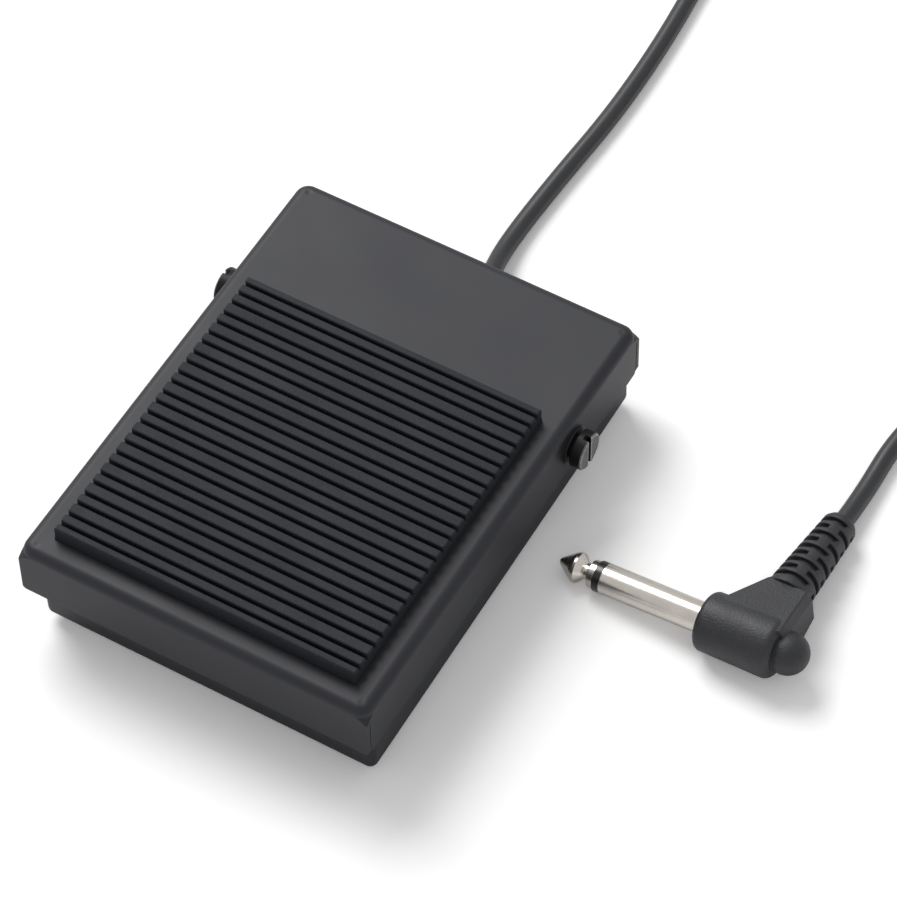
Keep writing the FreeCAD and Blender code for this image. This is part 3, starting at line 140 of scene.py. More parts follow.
class FinishSizes(bpy.types.PropertyGroup):
    """Sizes of the grains and soft edges of the finishes"""

    # The real rubber's pits, the sparked texture and the scratches are finer than these three sizes, and
    # are drawn as coarse as they need to show
    enamel_peel: length(0.55, "Enamel Grain", "Width of the ripples in the sprayed enamel")
    rubber_grain: length(0.4, "Rubber Grain", "Width of the pits in the moulded rubber")
    moulding_grain: length(0.4, "Moulding Grain", "Width of the sparked texture on the plug")
    scratch: length(0.35, "Scratch Spacing", "Distance between scratches on worn metal")
    weave: length(0.8, "Strap Weave", "Distance between threads in the strap")
    sheet_edge: length(0.3, "Sheet Edge", "Radius of the paint over cut steel edges")
    rubber_edge: length(0.3, "Rubber Edge", "Radius of the rubber's moulded edges")
    small_edge: length(0.15, "Small Edge", "Radius of the edges of the small parts")
    screw_edge: length(0.3, "Screw Edge", "Width of the bright wear on the pivot screws' edges")
    moulding_edge: length(0.7, "Moulding Edge", "Radius of the edges of the plug's moulding")
    dent_inset: length(2.7, "Dent Inset", "Distance of the folding dents from the lid's edges")
    dent_depth: length(0.07, "Dent Depth", "Depth of the folding dents")


class FinishColours(bpy.types.PropertyGroup):
    """Colours of the finishes"""

    enamel: colour("#1a1b22", "Enamel", "Satin black enamel of the lid and the tray")
    worn_enamel: colour("#3a3a3c", "Worn Enamel", "Enamel rubbed thin on edges")
    tread: colour("#26282c", "Tread", "Black rubber of the tread")
    rubber: colour("#1a1a1b", "Rubber", "Black rubber of feet, stops and grommet")
    sheath: colour("#1f2023", "Sheath", "Black plasticised PVC of the lead")
    moulding: colour("#1b1c22", "Moulding", "Black PVC of the plug's moulding")
    nickel: colour("#cfc9c1", "Nickel", "Nickel plate of the plug")
    screw_face: colour("#77777a", "Screw Face", "Worn steel on the pivot screws' faces")
    screw_side: colour("#121213", "Screw Side", "Blackened steel of the pivot screws")
    zinc: colour("#b4b8bc", "Zinc", "Bright zinc plate of nuts, screws and bracket")
    spring: colour("#8d8e8f", "Spring Steel", "Drawn spring steel")
    brass: colour("#c09a58", "Brass", "Brass of the switch's terminals")
    phenolic: colour("#1b1b1c", "Switch Case", "Black thermoset of the switch's case")
    plunger: colour("#8e2420", "Plunger", "Red plastic of the switch's plunger")
    nylon: colour("#dcd7c8", "Nylon", "Natural nylon of clamp and button")
    bush: colour("#0f0f10", "Bush", "Black nylon of the pivot bushes")
    wire_red: colour("#8f1d1a", "Red Wire", "Sheath of the signal's first wire")
    wire_white: colour("#cfcdc6", "White Wire", "Sheath of the signal's second wire")
    strap: colour("#19191b", "Strap", "Woven nylon of the coil's strap")
    insulator: colour("#111112", "Insulator", "Glossy black ring on the plug's shank")


class StageSettings(bpy.types.PropertyGroup):
    """Camera, floor and lights"""

    camera_place: FloatVectorProperty(
        name="Camera",
        description="Where the camera stands",
        default=(0.289695, -0.411101, 0.742013),
        subtype="TRANSLATION",
        unit="LENGTH",
    )
    camera_turn: FloatProperty(
        name="Turn",
        description="Camera's angle round the pedal, to the right of its toe",
        default=math.radians(32.66),
        subtype="ANGLE",
    )
    camera_rise: FloatProperty(
        name="Rise",
        description="Camera's angle above the floor",
        default=math.radians(55.19),
        subtype="ANGLE",
    )
    camera_roll: FloatProperty(
        name="Roll",
        description="Camera's lean to one side",
        default=math.radians(-2.96),
        subtype="ANGLE",
    )
    focal_length: FloatProperty(
        name="Focal Length",
        description="Focal length in millimetres on a sensor 36 mm wide",
        default=180.6,
        min=1,
    )
    floor: colour("#fafafa", "Floor", "White paper under the pedal")
    floor_size: FloatProperty(
        name="Floor Size", description="Side of the floor", default=8.0, unit="LENGTH", min=1
    )
    paper_glow: FloatProperty(
        name="Paper Glow",
        description="Share of plain white that the camera sees in the paper",
        default=0.11,
        min=0,
        max=1,
        subtype="FACTOR",
    )
    paper_lift: FloatProperty(
        name="Paper Lift",
        description="Share of its light that the paper gets beyond what the pedal gets",
        default=0.27,
        min=0,
        max=1,
        subtype="FACTOR",
    )
    fade_near: FloatProperty(
        name="Fade Start", description="Where the paper starts to fade", default=0.3, unit="LENGTH", min=0
    )
    fade_far: FloatProperty(
        name="Fade End", description="Where the paper is plain white", default=0.9, unit="LENGTH", min=0
    )
    room_light: FloatProperty(
        name="Room Light", description="Strength of the light from all round", default=0.5, min=0
    )
    room_shine: FloatProperty(
        name="Room Shine",
        description="Strength of the bright room that shiny surfaces mirror",
        default=0.75,
        min=0,
    )
    key_power: FloatProperty(
        name="Key Light", description="Power of the large soft light in watts", default=17.0, min=0
    )
    key_size: FloatProperty(
        name="Key Size",
        description="Side of the large soft light",
        default=0.8,
        unit="LENGTH",
        min=0.1,
    )
    key_place: FloatVectorProperty(
        name="Key Place",
        description="Middle of the large soft light",
        default=(-0.78, 0.45, 1.13),
        subtype="TRANSLATION",
        unit="LENGTH",
    )


def add(tree, kind, inputs=None, **settings):
    """Add a node with its settings, and fill or link its sockets by name or number."""
    node = tree.nodes.new(kind)
    for name, value in settings.items():
        setattr(node, name, value)
    for name, value in (inputs or {}).items():
        if isinstance(value, bpy.types.NodeSocket):
            tree.links.new(value, node.inputs[name])
        else:
            node.inputs[name].default_value = value
    return node


def blank(name):
    """A new material with an empty node tree, and that tree."""
    made = bpy.data.materials.new(name)
    made.use_nodes = True
    made.node_tree.nodes.clear()
    return made, made.node_tree


def coat(material, *nodes):
    """Give whole CAD nodes one material."""
    for name in nodes:
        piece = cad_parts[name]
        if not piece.material_slots:
            piece.data.materials.append(material)
        for slot in piece.material_slots:
            slot.material = material


def rgba(value):
    """A colour setting as a socket takes it."""
    return [*value, 1.0]


def mottled(tree, tint, pattern, ends, shades):
    """The tint, going from the first to the second of shades while the pattern goes from end to end."""
    shade = add(
        tree,
        "ShaderNodeMapRange",
        {
            "Value": pattern,
            "From Min": ends[0],
            "From Max": ends[1],
            "To Min": shades[0],
            "To Max": shades[1],
        },
    )
    skin = add(
        tree,
        "ShaderNodeVectorMath",
        {0: tint[:3], "Scale": shade.outputs["Result"]},
        operation="SCALE",
    )
    return skin.outputs["Vector"]


def grained(tree, height, strength, depth, edge):
    """The normals of a face with a grain as deep as depth and with edges rounded by edge."""
    round_edge = add(tree, "ShaderNodeBevel", {"Radius": edge}, samples=EDGE_SAMPLES)
    bump = add(
        tree,
        "ShaderNodeBump",
        {
            "Height": height,
            "Normal": round_edge.outputs["Normal"],
            "Strength": strength,
            "Distance": depth,
        },
    )
    return bump.outputs["Normal"]


def edge_lean(tree, round_edge):
    """How far the rounded normals keep to the face's own: 1 on the flat, less towards an edge."""
    flat = add(tree, "ShaderNodeNewGeometry").outputs["Normal"]
    lean = add(
        tree,
        "ShaderNodeVectorMath",
        {0: round_edge.outputs["Normal"], 1: flat},
        operation="DOT_PRODUCT",
    )
    return lean.outputs["Value"]


def enamelled_steel(name, tint, worn, peel, edge, dent_at, dent):
    """Pressed sheet steel, sprayed and baked with satin black enamel. The eye gets a soft, even sheen with
    faint ripples, broad cloudy patches where hands have been, edges rubbed a little paler, and a small dent
    that the folding left near each corner, as deep as dent."""
    made, tree = blank(name)
    place = add(tree, "ShaderNodeTexCoord").outputs["Object"]
    ripple = add(tree, "ShaderNodeTexNoise", {"Vector": place, "Scale": 1 / peel, "Detail": 3.0})
    cloud = add(tree, "ShaderNodeTexNoise", {"Vector": place, "Scale": 1 / (24 * MM), "Detail": 4.0})
    round_edge = add(tree, "ShaderNodeBevel", {"Radius": edge}, samples=EDGE_SAMPLES)
    patchy = add(tree, "ShaderNodeTexNoise", {"Vector": place, "Scale": 1 / (1.6 * MM), "Detail": 5.0})
    bare = add(
        tree,
        "ShaderNodeMapRange",
        {"Value": edge_lean(tree, round_edge), "From Min": 0.99, "From Max": 0.86, "To Max": 0.9},
    )
    rubbed = add(
        tree,
        "ShaderNodeMath",
        {0: bare.outputs["Result"], 1: patchy.outputs["Fac"]},
        operation="MULTIPLY",
    )
    paint = mottled(tree, tint, cloud.outputs["Fac"], NOISE_ENDS, (0.9, 1.12))
    skin = add(
        tree,
        "ShaderNodeMix",
        {0: rubbed.outputs["Value"], 6: paint, 7: worn},
        data_type="RGBA",
    )
    gloss = add(
        tree,
        "ShaderNodeMapRange",
        {"Value": cloud.outputs["Fac"], **MOST_OF_NOISE, "To Min": 0.47, "To Max": 0.54},
    )
    folded = add(tree, "ShaderNodeVectorMath", {0: place}, operation="ABSOLUTE")
    level = add(
        tree,
        "ShaderNodeVectorMath",
        {0: folded.outputs["Vector"], 1: (1, 1, 0)},
        operation="MULTIPLY",
    )
    away = add(
        tree,
        "ShaderNodeVectorMath",
        {0: level.outputs["Vector"], 1: dent_at},
        operation="DISTANCE",
    )
    pressed = add(
        tree,
        "ShaderNodeMapRange",
        {"Value": away.outputs["Value"], "From Min": 0.1 * MM, "From Max": 1.0 * MM},
        interpolation_type="SMOOTHSTEP",
    )
    dented = add(
        tree,
        "ShaderNodeBump",
        {
            "Height": pressed.outputs["Result"],
            "Normal": round_edge.outputs["Normal"],
            "Strength": 1.0,
            "Distance": dent,
        },
    )
    bump = add(
        tree,
        "ShaderNodeBump",
        {
            "Height": ripple.outputs["Fac"],
            "Normal": dented.outputs["Normal"],
            "Strength": 0.6,
            "Distance": 0.012 * MM,
        },
    )
    shader = add(
        tree,
        "ShaderNodeBsdfPrincipled",
        {
            "Base Color": skin.outputs[2],
            "Roughness": gloss.outputs["Result"],
            "Normal": bump.outputs["Normal"],
            "IOR": 1.5,
            "Specular IOR Level": 0.4,
        },
    )
    add(tree, "ShaderNodeOutputMaterial", {"Surface": shader.outputs["BSDF"]})
    return made


def moulded_rubber(name, tint, grain, edge):
    """Black rubber, moulded in a blasted steel tool. The eye gets a dull, slightly speckled skin, soft rib
    edges, and a trace of dust that makes some spots greyer."""
    made, tree = blank(name)
    place = add(tree, "ShaderNodeTexCoord").outputs["Object"]
    pits = add(
        tree,
        "ShaderNodeTexNoise",
        {"Vector": place, "Scale": 1 / grain, "Detail": 4.0, "Roughness": 0.65},
    )
    smear = add(tree, "ShaderNodeTexNoise", {"Vector": place, "Scale": 1 / (9 * MM), "Detail": 4.0})
    dusty = mottled(tree, tint, pits.outputs["Fac"], (0.35, 0.7), (0.8, 1.35))
    gloss = add(
        tree,
        "ShaderNodeMapRange",
        {"Value": smear.outputs["Fac"], **MOST_OF_NOISE, "To Min": 0.55, "To Max": 0.65},
    )
    shader = add(
        tree,
        "ShaderNodeBsdfPrincipled",
        {
            "Base Color": dusty,
            "Roughness": gloss.outputs["Result"],
            "Normal": grained(tree, pits.outputs["Fac"], 0.8, 0.03 * MM, edge),
            "IOR": 1.52,
            "Specular IOR Level": 0.15,
        },
    )
    add(tree, "ShaderNodeOutputMaterial", {"Surface": shader.outputs["BSDF"]})
    return made


def soft_pvc(name, tint, grain, depth, speck, rough, edge):
    """Plasticised PVC, extruded as a sheath or moulded over the plug. The eye gets a smooth, waxy sheen,
    broken a little by the tool's sparked texture, whose pits look up to speck darker or paler."""
    made, tree = blank(name)
    place = add(tree, "ShaderNodeTexCoord").outputs["Object"]
    texture = add(tree, "ShaderNodeTexNoise", {"Vector": place, "Scale": 1 / grain, "Detail": 3.0})
    wave = add(tree, "ShaderNodeTexNoise", {"Vector": place, "Scale": 1 / (7 * MM), "Detail": 2.0})
    skin = mottled(tree, tint, texture.outputs["Fac"], (0.35, 0.65), (1 - speck, 1 + speck))
    gloss = add(
        tree,
        "ShaderNodeMapRange",
        {
            "Value": wave.outputs["Fac"],
            **MOST_OF_NOISE,
            "To Min": rough - 0.04,
            "To Max": rough + 0.05,
        },
    )
    shader = add(
        tree,
        "ShaderNodeBsdfPrincipled",
        {
            "Base Color": skin,
            "Roughness": gloss.outputs["Result"],
            "Normal": grained(tree, texture.outputs["Fac"], 0.7, depth, edge),
            "IOR": 1.53,
        },
    )
    add(tree, "ShaderNodeOutputMaterial", {"Surface": shader.outputs["BSDF"]})
    return made


def plated_metal(name, tint, rough, grain, depth, edge, stretch=(1, 1, 1)):
    """Metal with a thin bright plate, or drawn wire. The eye gets mirror bands softened by fine marks that
    run the way the piece was turned, drawn or tumbled, which stretch sets along X, Y and Z."""
    made, tree = blank(name)
    place = add(tree, "ShaderNodeTexCoord").outputs["Object"]
    drawn = add(tree, "ShaderNodeMapping", {"Vector": place, "Scale": stretch})
    marks = add(
        tree,
        "ShaderNodeTexNoise",
        {"Vector": drawn.outputs["Vector"], "Scale": 1 / grain, "Detail": 3.0},
    )
    haze = add(tree, "ShaderNodeTexNoise", {"Vector": place, "Scale": 1 / (3 * MM), "Detail": 3.0})
    skin = mottled(tree, tint, haze.outputs["Fac"], NOISE_ENDS, (0.92, 1.04))
    gloss = add(
        tree,
        "ShaderNodeMapRange",
        {
            "Value": marks.outputs["Fac"],
            **MOST_OF_NOISE,
            "To Min": rough * 0.8,
            "To Max": rough * 1.25,
        },
    )
    shader = add(
        tree,
        "ShaderNodeBsdfPrincipled",
        {
            "Base Color": skin,
            "Roughness": gloss.outputs["Result"],
            "Normal": grained(tree, marks.outputs["Fac"], 0.4, depth, edge),
            "Metallic": 1.0,
        },
    )
    add(tree, "ShaderNodeOutputMaterial", {"Surface": shader.outputs["BSDF"]})
    return made


def blackened_screw(name, face, side, scratch, edge, face_out):
    """Turned steel, blackened in a hot bath, its face worn by screwdrivers. The eye gets a black rim and
    slot, a dull grey scratched face, and thin bright lines where the face meets its edges."""
    made, tree = blank(name)
    place = add(tree, "ShaderNodeTexCoord").outputs["Object"]
    parts = add(tree, "ShaderNodeSeparateXYZ", {"Vector": place})
    out = add(tree, "ShaderNodeMath", {0: parts.outputs["X"]}, operation="ABSOLUTE")
    # Wear begins a little below the face, where a screwdriver still reaches
    on_face = add(
        tree,
        "ShaderNodeMapRange",
        {"Value": out.outputs["Value"], "From Min": face_out - 0.35 * MM, "From Max": face_out - 0.1 * MM},
    )
    grit = add(
        tree,
        "ShaderNodeTexNoise",
        {"Vector": place, "Scale": 1 / scratch, "Detail": 5.0, "Roughness": 0.7},
    )
    patch = add(
        tree,
        "ShaderNodeMapRange",
        {"Value": grit.outputs["Fac"], "From Min": 0.35, "From Max": 0.65, "To Min": 0.55, "To Max": 1.0},
    )
    worn = add(
        tree,
        "ShaderNodeMath",
        {0: on_face.outputs["Result"], 1: patch.outputs["Result"]},
        operation="MULTIPLY",
    )
    round_edge = add(tree, "ShaderNodeBevel", {"Radius": edge}, samples=EDGE_SAMPLES)
    rim = add(
        tree,
        "ShaderNodeMapRange",
        {"Value": edge_lean(tree, round_edge), "From Min": 0.995, "From Max": 0.94},
    )
    bright = add(
        tree,
        "ShaderNodeMath",
        {0: rim.outputs["Result"], 1: on_face.outputs["Result"]},
        operation="MULTIPLY",
    )
    skin = add(
        tree,
        "ShaderNodeMix",
        {0: worn.outputs["Value"], 6: side, 7: face},
        data_type="RGBA",
    )
    edged = add(
        tree,
        "ShaderNodeMix",
        {0: bright.outputs["Value"], 6: skin.outputs[2], 7: rgba(linear(BARE_STEEL))},
        data_type="RGBA",
    )
    bump = add(
        tree,
        "ShaderNodeBump",
        {
            "Height": grit.outputs["Fac"],
            "Normal": round_edge.outputs["Normal"],
            "Strength": 0.5,
            "Distance": 0.02 * MM,
        },
    )
    shader = add(
        tree,
        "ShaderNodeBsdfPrincipled",
        {
            "Base Color": edged.outputs[2],
            "Metallic": worn.outputs["Value"],
            "Roughness": 0.4,
            "Specular IOR Level": 0.2,
            "Normal": bump.outputs["Normal"],
        },
    )
    add(tree, "ShaderNodeOutputMaterial", {"Surface": shader.outputs["BSDF"]})
    return made


def hard_plastic(name, tint, rough, glow, edge):
    """Injection moulded nylon, thermoset or acetal. The eye gets a clean, slightly uneven shine, and light
    that sinks a little way into the pale ones."""
    made, tree = blank(name)
    place = add(tree, "ShaderNodeTexCoord").outputs["Object"]
    flow = add(tree, "ShaderNodeTexNoise", {"Vector": place, "Scale": 1 / (2 * MM), "Detail": 4.0})
    skin = mottled(tree, tint, flow.outputs["Fac"], NOISE_ENDS, (0.93, 1.05))
    gloss = add(
        tree,
        "ShaderNodeMapRange",
        {
            "Value": flow.outputs["Fac"],
            **MOST_OF_NOISE,
            "To Min": rough - 0.05,
            "To Max": rough + 0.05,
        },
    )
    shader = add(
        tree,
        "ShaderNodeBsdfPrincipled",
        {
            "Base Color": skin,
            "Roughness": gloss.outputs["Result"],
            "Normal": grained(tree, flow.outputs["Fac"], 0.3, 0.03 * MM, edge),
            "IOR": 1.53,
            "Subsurface Weight": glow,
            "Subsurface Radius": (1.0, 0.9, 0.7),
            "Subsurface Scale": 0.5 * MM,
        },
    )
    add(tree, "ShaderNodeOutputMaterial", {"Surface": shader.outputs["BSDF"]})
    return made


def woven_nylon(name, tint, spacing):
    """Nylon strap in plain weave. The eye gets small dull squares with a soft sheen on each thread."""
    made, tree = blank(name)
    place = add(tree, "ShaderNodeTexCoord").outputs["Object"]
    parts = add(tree, "ShaderNodeSeparateXYZ", {"Vector": place})
    round_run = add(
        tree,
        "ShaderNodeMath",
        {0: parts.outputs["X"], 1: parts.outputs["Z"]},
        operation="ADD",
    )
    turn = math.pi / spacing
    across = add(tree, "ShaderNodeMath", {0: parts.outputs["Y"], 1: turn}, operation="MULTIPLY")
    along = add(tree, "ShaderNodeMath", {0: round_run.outputs["Value"], 1: turn}, operation="MULTIPLY")
    warp = add(tree, "ShaderNodeMath", {0: across.outputs["Value"]}, operation="SINE")
    weft = add(tree, "ShaderNodeMath", {0: along.outputs["Value"]}, operation="SINE")
    cross = add(
        tree,
        "ShaderNodeMath",
        {0: warp.outputs["Value"], 1: weft.outputs["Value"]},
        operation="MULTIPLY",
    )
    skin = mottled(tree, tint, cross.outputs["Value"], (-1, 1), (0.7, 1.4))
    bump = add(
        tree,
        "ShaderNodeBump",
        {"Height": cross.outputs["Value"], "Strength": 0.8, "Distance": 0.1 * MM},
    )
    shader = add(
        tree,
        "ShaderNodeBsdfPrincipled",
        {
            "Base Color": skin,
            "Roughness": 0.7,
            "Normal": bump.outputs["Normal"],
            "Sheen Weight": 0.3,
            "Sheen Roughness": 0.5,
        },
    )
    add(tree, "ShaderNodeOutputMaterial", {"Surface": shader.outputs["BSDF"]})
    return made


def white_paper(name, tint, glow, lift, near, far):
    """A roll of matt white studio paper under a little more light than the pedal. The eye gets plain white
    with soft grey shadows, which grow darker where the pedal nearly touches it, and from near to far away
    the paper fades into white."""
    made, tree = blank(name)
    place = add(tree, "ShaderNodeTexCoord").outputs["Object"]
    away = add(tree, "ShaderNodeVectorMath", {0: place}, operation="LENGTH")
    fade = add(
        tree,
        "ShaderNodeMapRange",
        {"Value": away.outputs["Value"], "From Min": near, "From Max": far, "To Min": glow},
        interpolation_type="SMOOTHSTEP",
    )
    path = add(tree, "ShaderNodeLightPath")
    paper = add(tree, "ShaderNodeBsdfDiffuse", {"Color": tint, "Roughness": 0.5})
    white = add(tree, "ShaderNodeEmission", {"Color": (1, 1, 1, 1), "Strength": 1.0})
    share = add(
        tree,
        "ShaderNodeMath",
        {0: path.outputs["Is Camera Ray"], 1: fade.outputs["Result"]},
        operation="MULTIPLY",
    )
    glowing = add(
        tree,
        "ShaderNodeMixShader",
        {0: share.outputs["Value"], 1: paper.outputs["BSDF"], 2: white.outputs["Emission"]},
    )
    gain = add(
        tree,
        "ShaderNodeMath",
        {0: path.outputs["Is Camera Ray"], 1: lift},
        operation="MULTIPLY",
    )
    more = add(
        tree,
        "ShaderNodeVectorMath",
        {0: tint[:3], "Scale": gain.outputs["Value"]},
        operation="SCALE",
    )
    extra = add(tree, "ShaderNodeBsdfDiffuse", {"Color": more.outputs["Vector"], "Roughness": 0.5})
    whole = add(tree, "ShaderNodeAddShader", {0: glowing.outputs["Shader"], 1: extra.outputs["BSDF"]})
    add(tree, "ShaderNodeOutputMaterial", {"Surface": whole.outputs["Shader"]})
    return made


def white_room(name, light, shine):
    """A white room round the pedal. The camera sees it plain white, shiny faces mirror it at the strength
    shine, and it lights the pedal at the strength light."""
    world = bpy.data.worlds.new(name)
    world.use_nodes = True
    tree = world.node_tree
    tree.nodes.clear()
    path = add(tree, "ShaderNodeLightPath")
    mirrored = add(
        tree,
        "ShaderNodeMapRange",
        {"Value": path.outputs["Is Glossy Ray"], "To Min": light, "To Max": shine},
    )
    strength = add(
        tree,
        "ShaderNodeMath",
        {0: path.outputs["Is Camera Ray"], 1: mirrored.outputs["Result"]},
        operation="MAXIMUM",
    )
    room = add(
        tree,
        "ShaderNodeBackground",
        {"Color": (1, 1, 1, 1), "Strength": strength.outputs["Value"]},
    )
    add(tree, "ShaderNodeOutputWorld", {"Surface": room.outputs["Background"]})
    return world


class PEDAL_OT_paint_shell(bpy.types.Operator):
    """Paint the lid and the tray with satin enamel"""

    bl_idname = "pedal.paint_shell"
    bl_label = "Paint Lid and Tray"

    def execute(self, context):
        hues = context.scene.pedal_colours
        sizes = context.scene.pedal_finish
        low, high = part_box("pedal_lid")
        corner = ((high.x - low.x) / 2 - sizes.dent_inset, (high.y - low.y) / 2 - sizes.dent_inset, 0)
        for node, dent in (("pedal_lid", sizes.dent_depth), ("base_tray", 0)):
            paint = enamelled_steel(
                "satin_enamel_" + node,
                rgba(hues.enamel),
                rgba(hues.worn_enamel),
                sizes.enamel_peel,
                sizes.sheet_edge,
                corner,
                dent,
            )
            coat(paint, node)
        return {"FINISHED"}


class PEDAL_OT_dress_rubber(bpy.types.Operator):
    """Give the tread, feet, stops and grommet their rubber"""

    bl_idname = "pedal.dress_rubber"
    bl_label = "Dress Rubber Parts"

    def execute(self, context):
        hues = context.scene.pedal_colours
        sizes = context.scene.pedal_finish
        tread = moulded_rubber("tread_rubber", rgba(hues.tread), sizes.rubber_grain, sizes.rubber_edge)
        plain = moulded_rubber("foot_rubber", rgba(hues.rubber), sizes.rubber_grain, sizes.small_edge)
        coat(tread, "tread_pad")
        coat(plain, "rubber_feet", "toe_stops", "back_stops", "cord_grommet")
        return {"FINISHED"}


class PEDAL_OT_finish_hardware(bpy.types.Operator):
    """Finish the screws, nuts, bracket, lever and bushes"""

    bl_idname = "pedal.finish_hardware"
    bl_label = "Finish Hardware"

    def execute(self, context):
        hues = context.scene.pedal_colours
        sizes = context.scene.pedal_finish
        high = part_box("pivot_screw_right")[1]
        screw = blackened_screw(
            "blackened_steel",
            rgba(hues.screw_face),
            rgba(hues.screw_side),
            sizes.scratch,
            sizes.screw_edge,
            high.x,
        )
        edge = sizes.small_edge
        marks = {"grain": sizes.scratch, "depth": 0.01 * MM, "edge": edge}
        zinc = plated_metal("zinc_plate", rgba(hues.zinc), rough=0.32, **marks)
        wire = plated_metal("spring_steel", rgba(hues.spring), rough=0.28, **marks)
        natural = hard_plastic("natural_nylon", rgba(hues.nylon), rough=0.4, glow=0.15, edge=edge)
        bush = hard_plastic("black_nylon", rgba(hues.bush), rough=0.42, glow=0.0, edge=edge)
        coat(screw, "pivot_screw_left", "pivot_screw_right")
        coat(
            zinc,
            "pivot_nuts",
            "spring_seat",
            "spring_post",
            "switch_bracket",
            "bracket_screws",
            "switch_screws",
            "switch_nuts",
            "clamp_screw",
        )
        coat(wire, "lever_pin", "switch_lever")
        coat(bush, "pivot_bushes")
        coat(natural, "actuator_button", "cable_clamp")
        return {"FINISHED"}


class PEDAL_OT_fit_spring(bpy.types.Operator):
    """Fit the return spring, a copy of the CAD spring that rides on the base"""

    bl_idname = "pedal.fit_spring"
    bl_label = "Fit Spring"

    def execute(self, context):
        finish = context.scene.pedal_finish
        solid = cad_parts["return_spring"]
        spring = bpy.data.objects.new("coil_spring", solid.data.copy())
        spring.matrix_world = solid.matrix_world.copy()
        context.scene.collection.objects.link(spring)
        wire = plated_metal(
            "spring_wire",
            rgba(context.scene.pedal_colours.spring),
            rough=0.28,
            grain=finish.scratch,
            depth=0.01 * MM,
            edge=finish.small_edge,
        )
        spring.data.materials.clear()
        spring.data.materials.append(wire)
        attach(spring, "base")
        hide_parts("return_spring")
        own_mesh(spring)
        return {"FINISHED"}


class PEDAL_OT_finish_switch(bpy.types.Operator):
    """Finish the switch, its terminals and its wires"""

    bl_idname = "pedal.finish_switch"
    bl_label = "Finish Switch"

    def execute(self, context):
        hues = context.scene.pedal_colours
        sizes = context.scene.pedal_finish
        edge = sizes.small_edge
        case = hard_plastic("switch_case_thermoset", rgba(hues.phenolic), rough=0.45, glow=0.0, edge=edge)
        plunger = hard_plastic("plunger_plastic", rgba(hues.plunger), rough=0.4, glow=0.05, edge=edge)
        brass = plated_metal(
            "rolled_brass",
            rgba(hues.brass),
            rough=0.28,
            grain=sizes.scratch,
            depth=0.008 * MM,
            edge=edge,
        )
        coat(case, "switch_case")
        coat(plunger, "switch_plunger")
        coat(brass, "switch_terminals", "contact_blade")
        for name, tint, node in (
            ("red_wire_pvc", hues.wire_red, "wire_common"),
            ("white_wire_pvc", hues.wire_white, "wire_signal"),
        ):
            sheath = soft_pvc(
                name,
                rgba(tint),
                grain=sizes.moulding_grain,
                depth=0.004 * MM,
                speck=0.06,
                rough=0.35,
                edge=0.1 * MM,
            )
            coat(sheath, node)
        return {"FINISHED"}


def coil_points(sizes):
    """The coil's control points: layers that spiral in and out, and climb where the spiral turns back."""
    layer_turns = sizes.coil_turns / sizes.coil_layers
    count = round(sizes.coil_turns * sizes.turn_points)
    # The curve touches the middles of its control polygon's sides, so the points stand a little wider
    widen = 1 / math.cos(math.pi / sizes.turn_points)
    points = []
    for k in range(count + 1):
        turn = sizes.coil_turns * k / count
        layer = min(int(turn / layer_turns), sizes.coil_layers - 1)
        into = turn - layer * layer_turns
        if layer % 2:
            into = layer_turns - into
        radius = (sizes.coil_outer - sizes.coil_pitch * into) * widen
        height = sizes.coil_start
        # Each climb takes half a turn, a quarter on either side of where a layer ends
        for climb in range(1, sizes.coil_layers):
            share = min(max((turn - climb * layer_turns) * 2 + 0.5, 0), 1)
            height += sizes.coil_rise * (share - math.sin(2 * math.pi * share) / (2 * math.pi))
        angle = 2 * math.pi * turn
        x = sizes.coil_x + radius * math.sin(angle)
        y = sizes.coil_y + radius * math.cos(angle)
        points.append(Vector((x, y, height)))
    return points


class PEDAL_OT_lay_lead(bpy.types.Operator):
    """Lay the lead from the grommet through its coil to the plug"""

    bl_idname = "pedal.lay_lead"
    bl_label = "Lay Lead"

    def execute(self, context):
        sizes = context.scene.pedal_lead
        hues = context.scene.pedal_colours
        finish = context.scene.pedal_finish
        route = [Vector(point) * MM for point in ROUTE_TO_COIL]
        route += coil_points(sizes)
        route += [Vector(point) * MM for point in ROUTE_TO_PLUG]
        curve = bpy.data.curves.new("lead", "CURVE")
        curve.dimensions = "3D"
        curve.bevel_depth = sizes.diameter / 2
        curve.bevel_resolution = 6
        curve.resolution_u = 8
        curve.use_fill_caps = True
        spline = curve.splines.new("NURBS")
        spline.points.add(len(route) - 1)
        for point, place in zip(spline.points, route):
            point.co = (*place, 1.0)
        spline.order_u = 3
        spline.use_endpoint_u = True
        spline.use_smooth = True
        lead = bpy.data.objects.new("lead", curve)
        context.scene.collection.objects.link(lead)
        sheath = soft_pvc(
            "lead_sheath_pvc",
            rgba(hues.sheath),
            grain=0.9 * MM,
            depth=0.012 * MM,
            speck=0.08,
            rough=0.4,
            edge=0.1 * MM,
        )
        curve.materials.append(sheath)
        coat(sheath, "cable_tail")
        strap = woven_nylon("strap_weave", rgba(hues.strap), finish.weave)
        coat(strap, "coil_tie")
        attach(lead, "base")
        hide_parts("cord_near", "cord_coil", "cord_far")
        return {"FINISHED"}


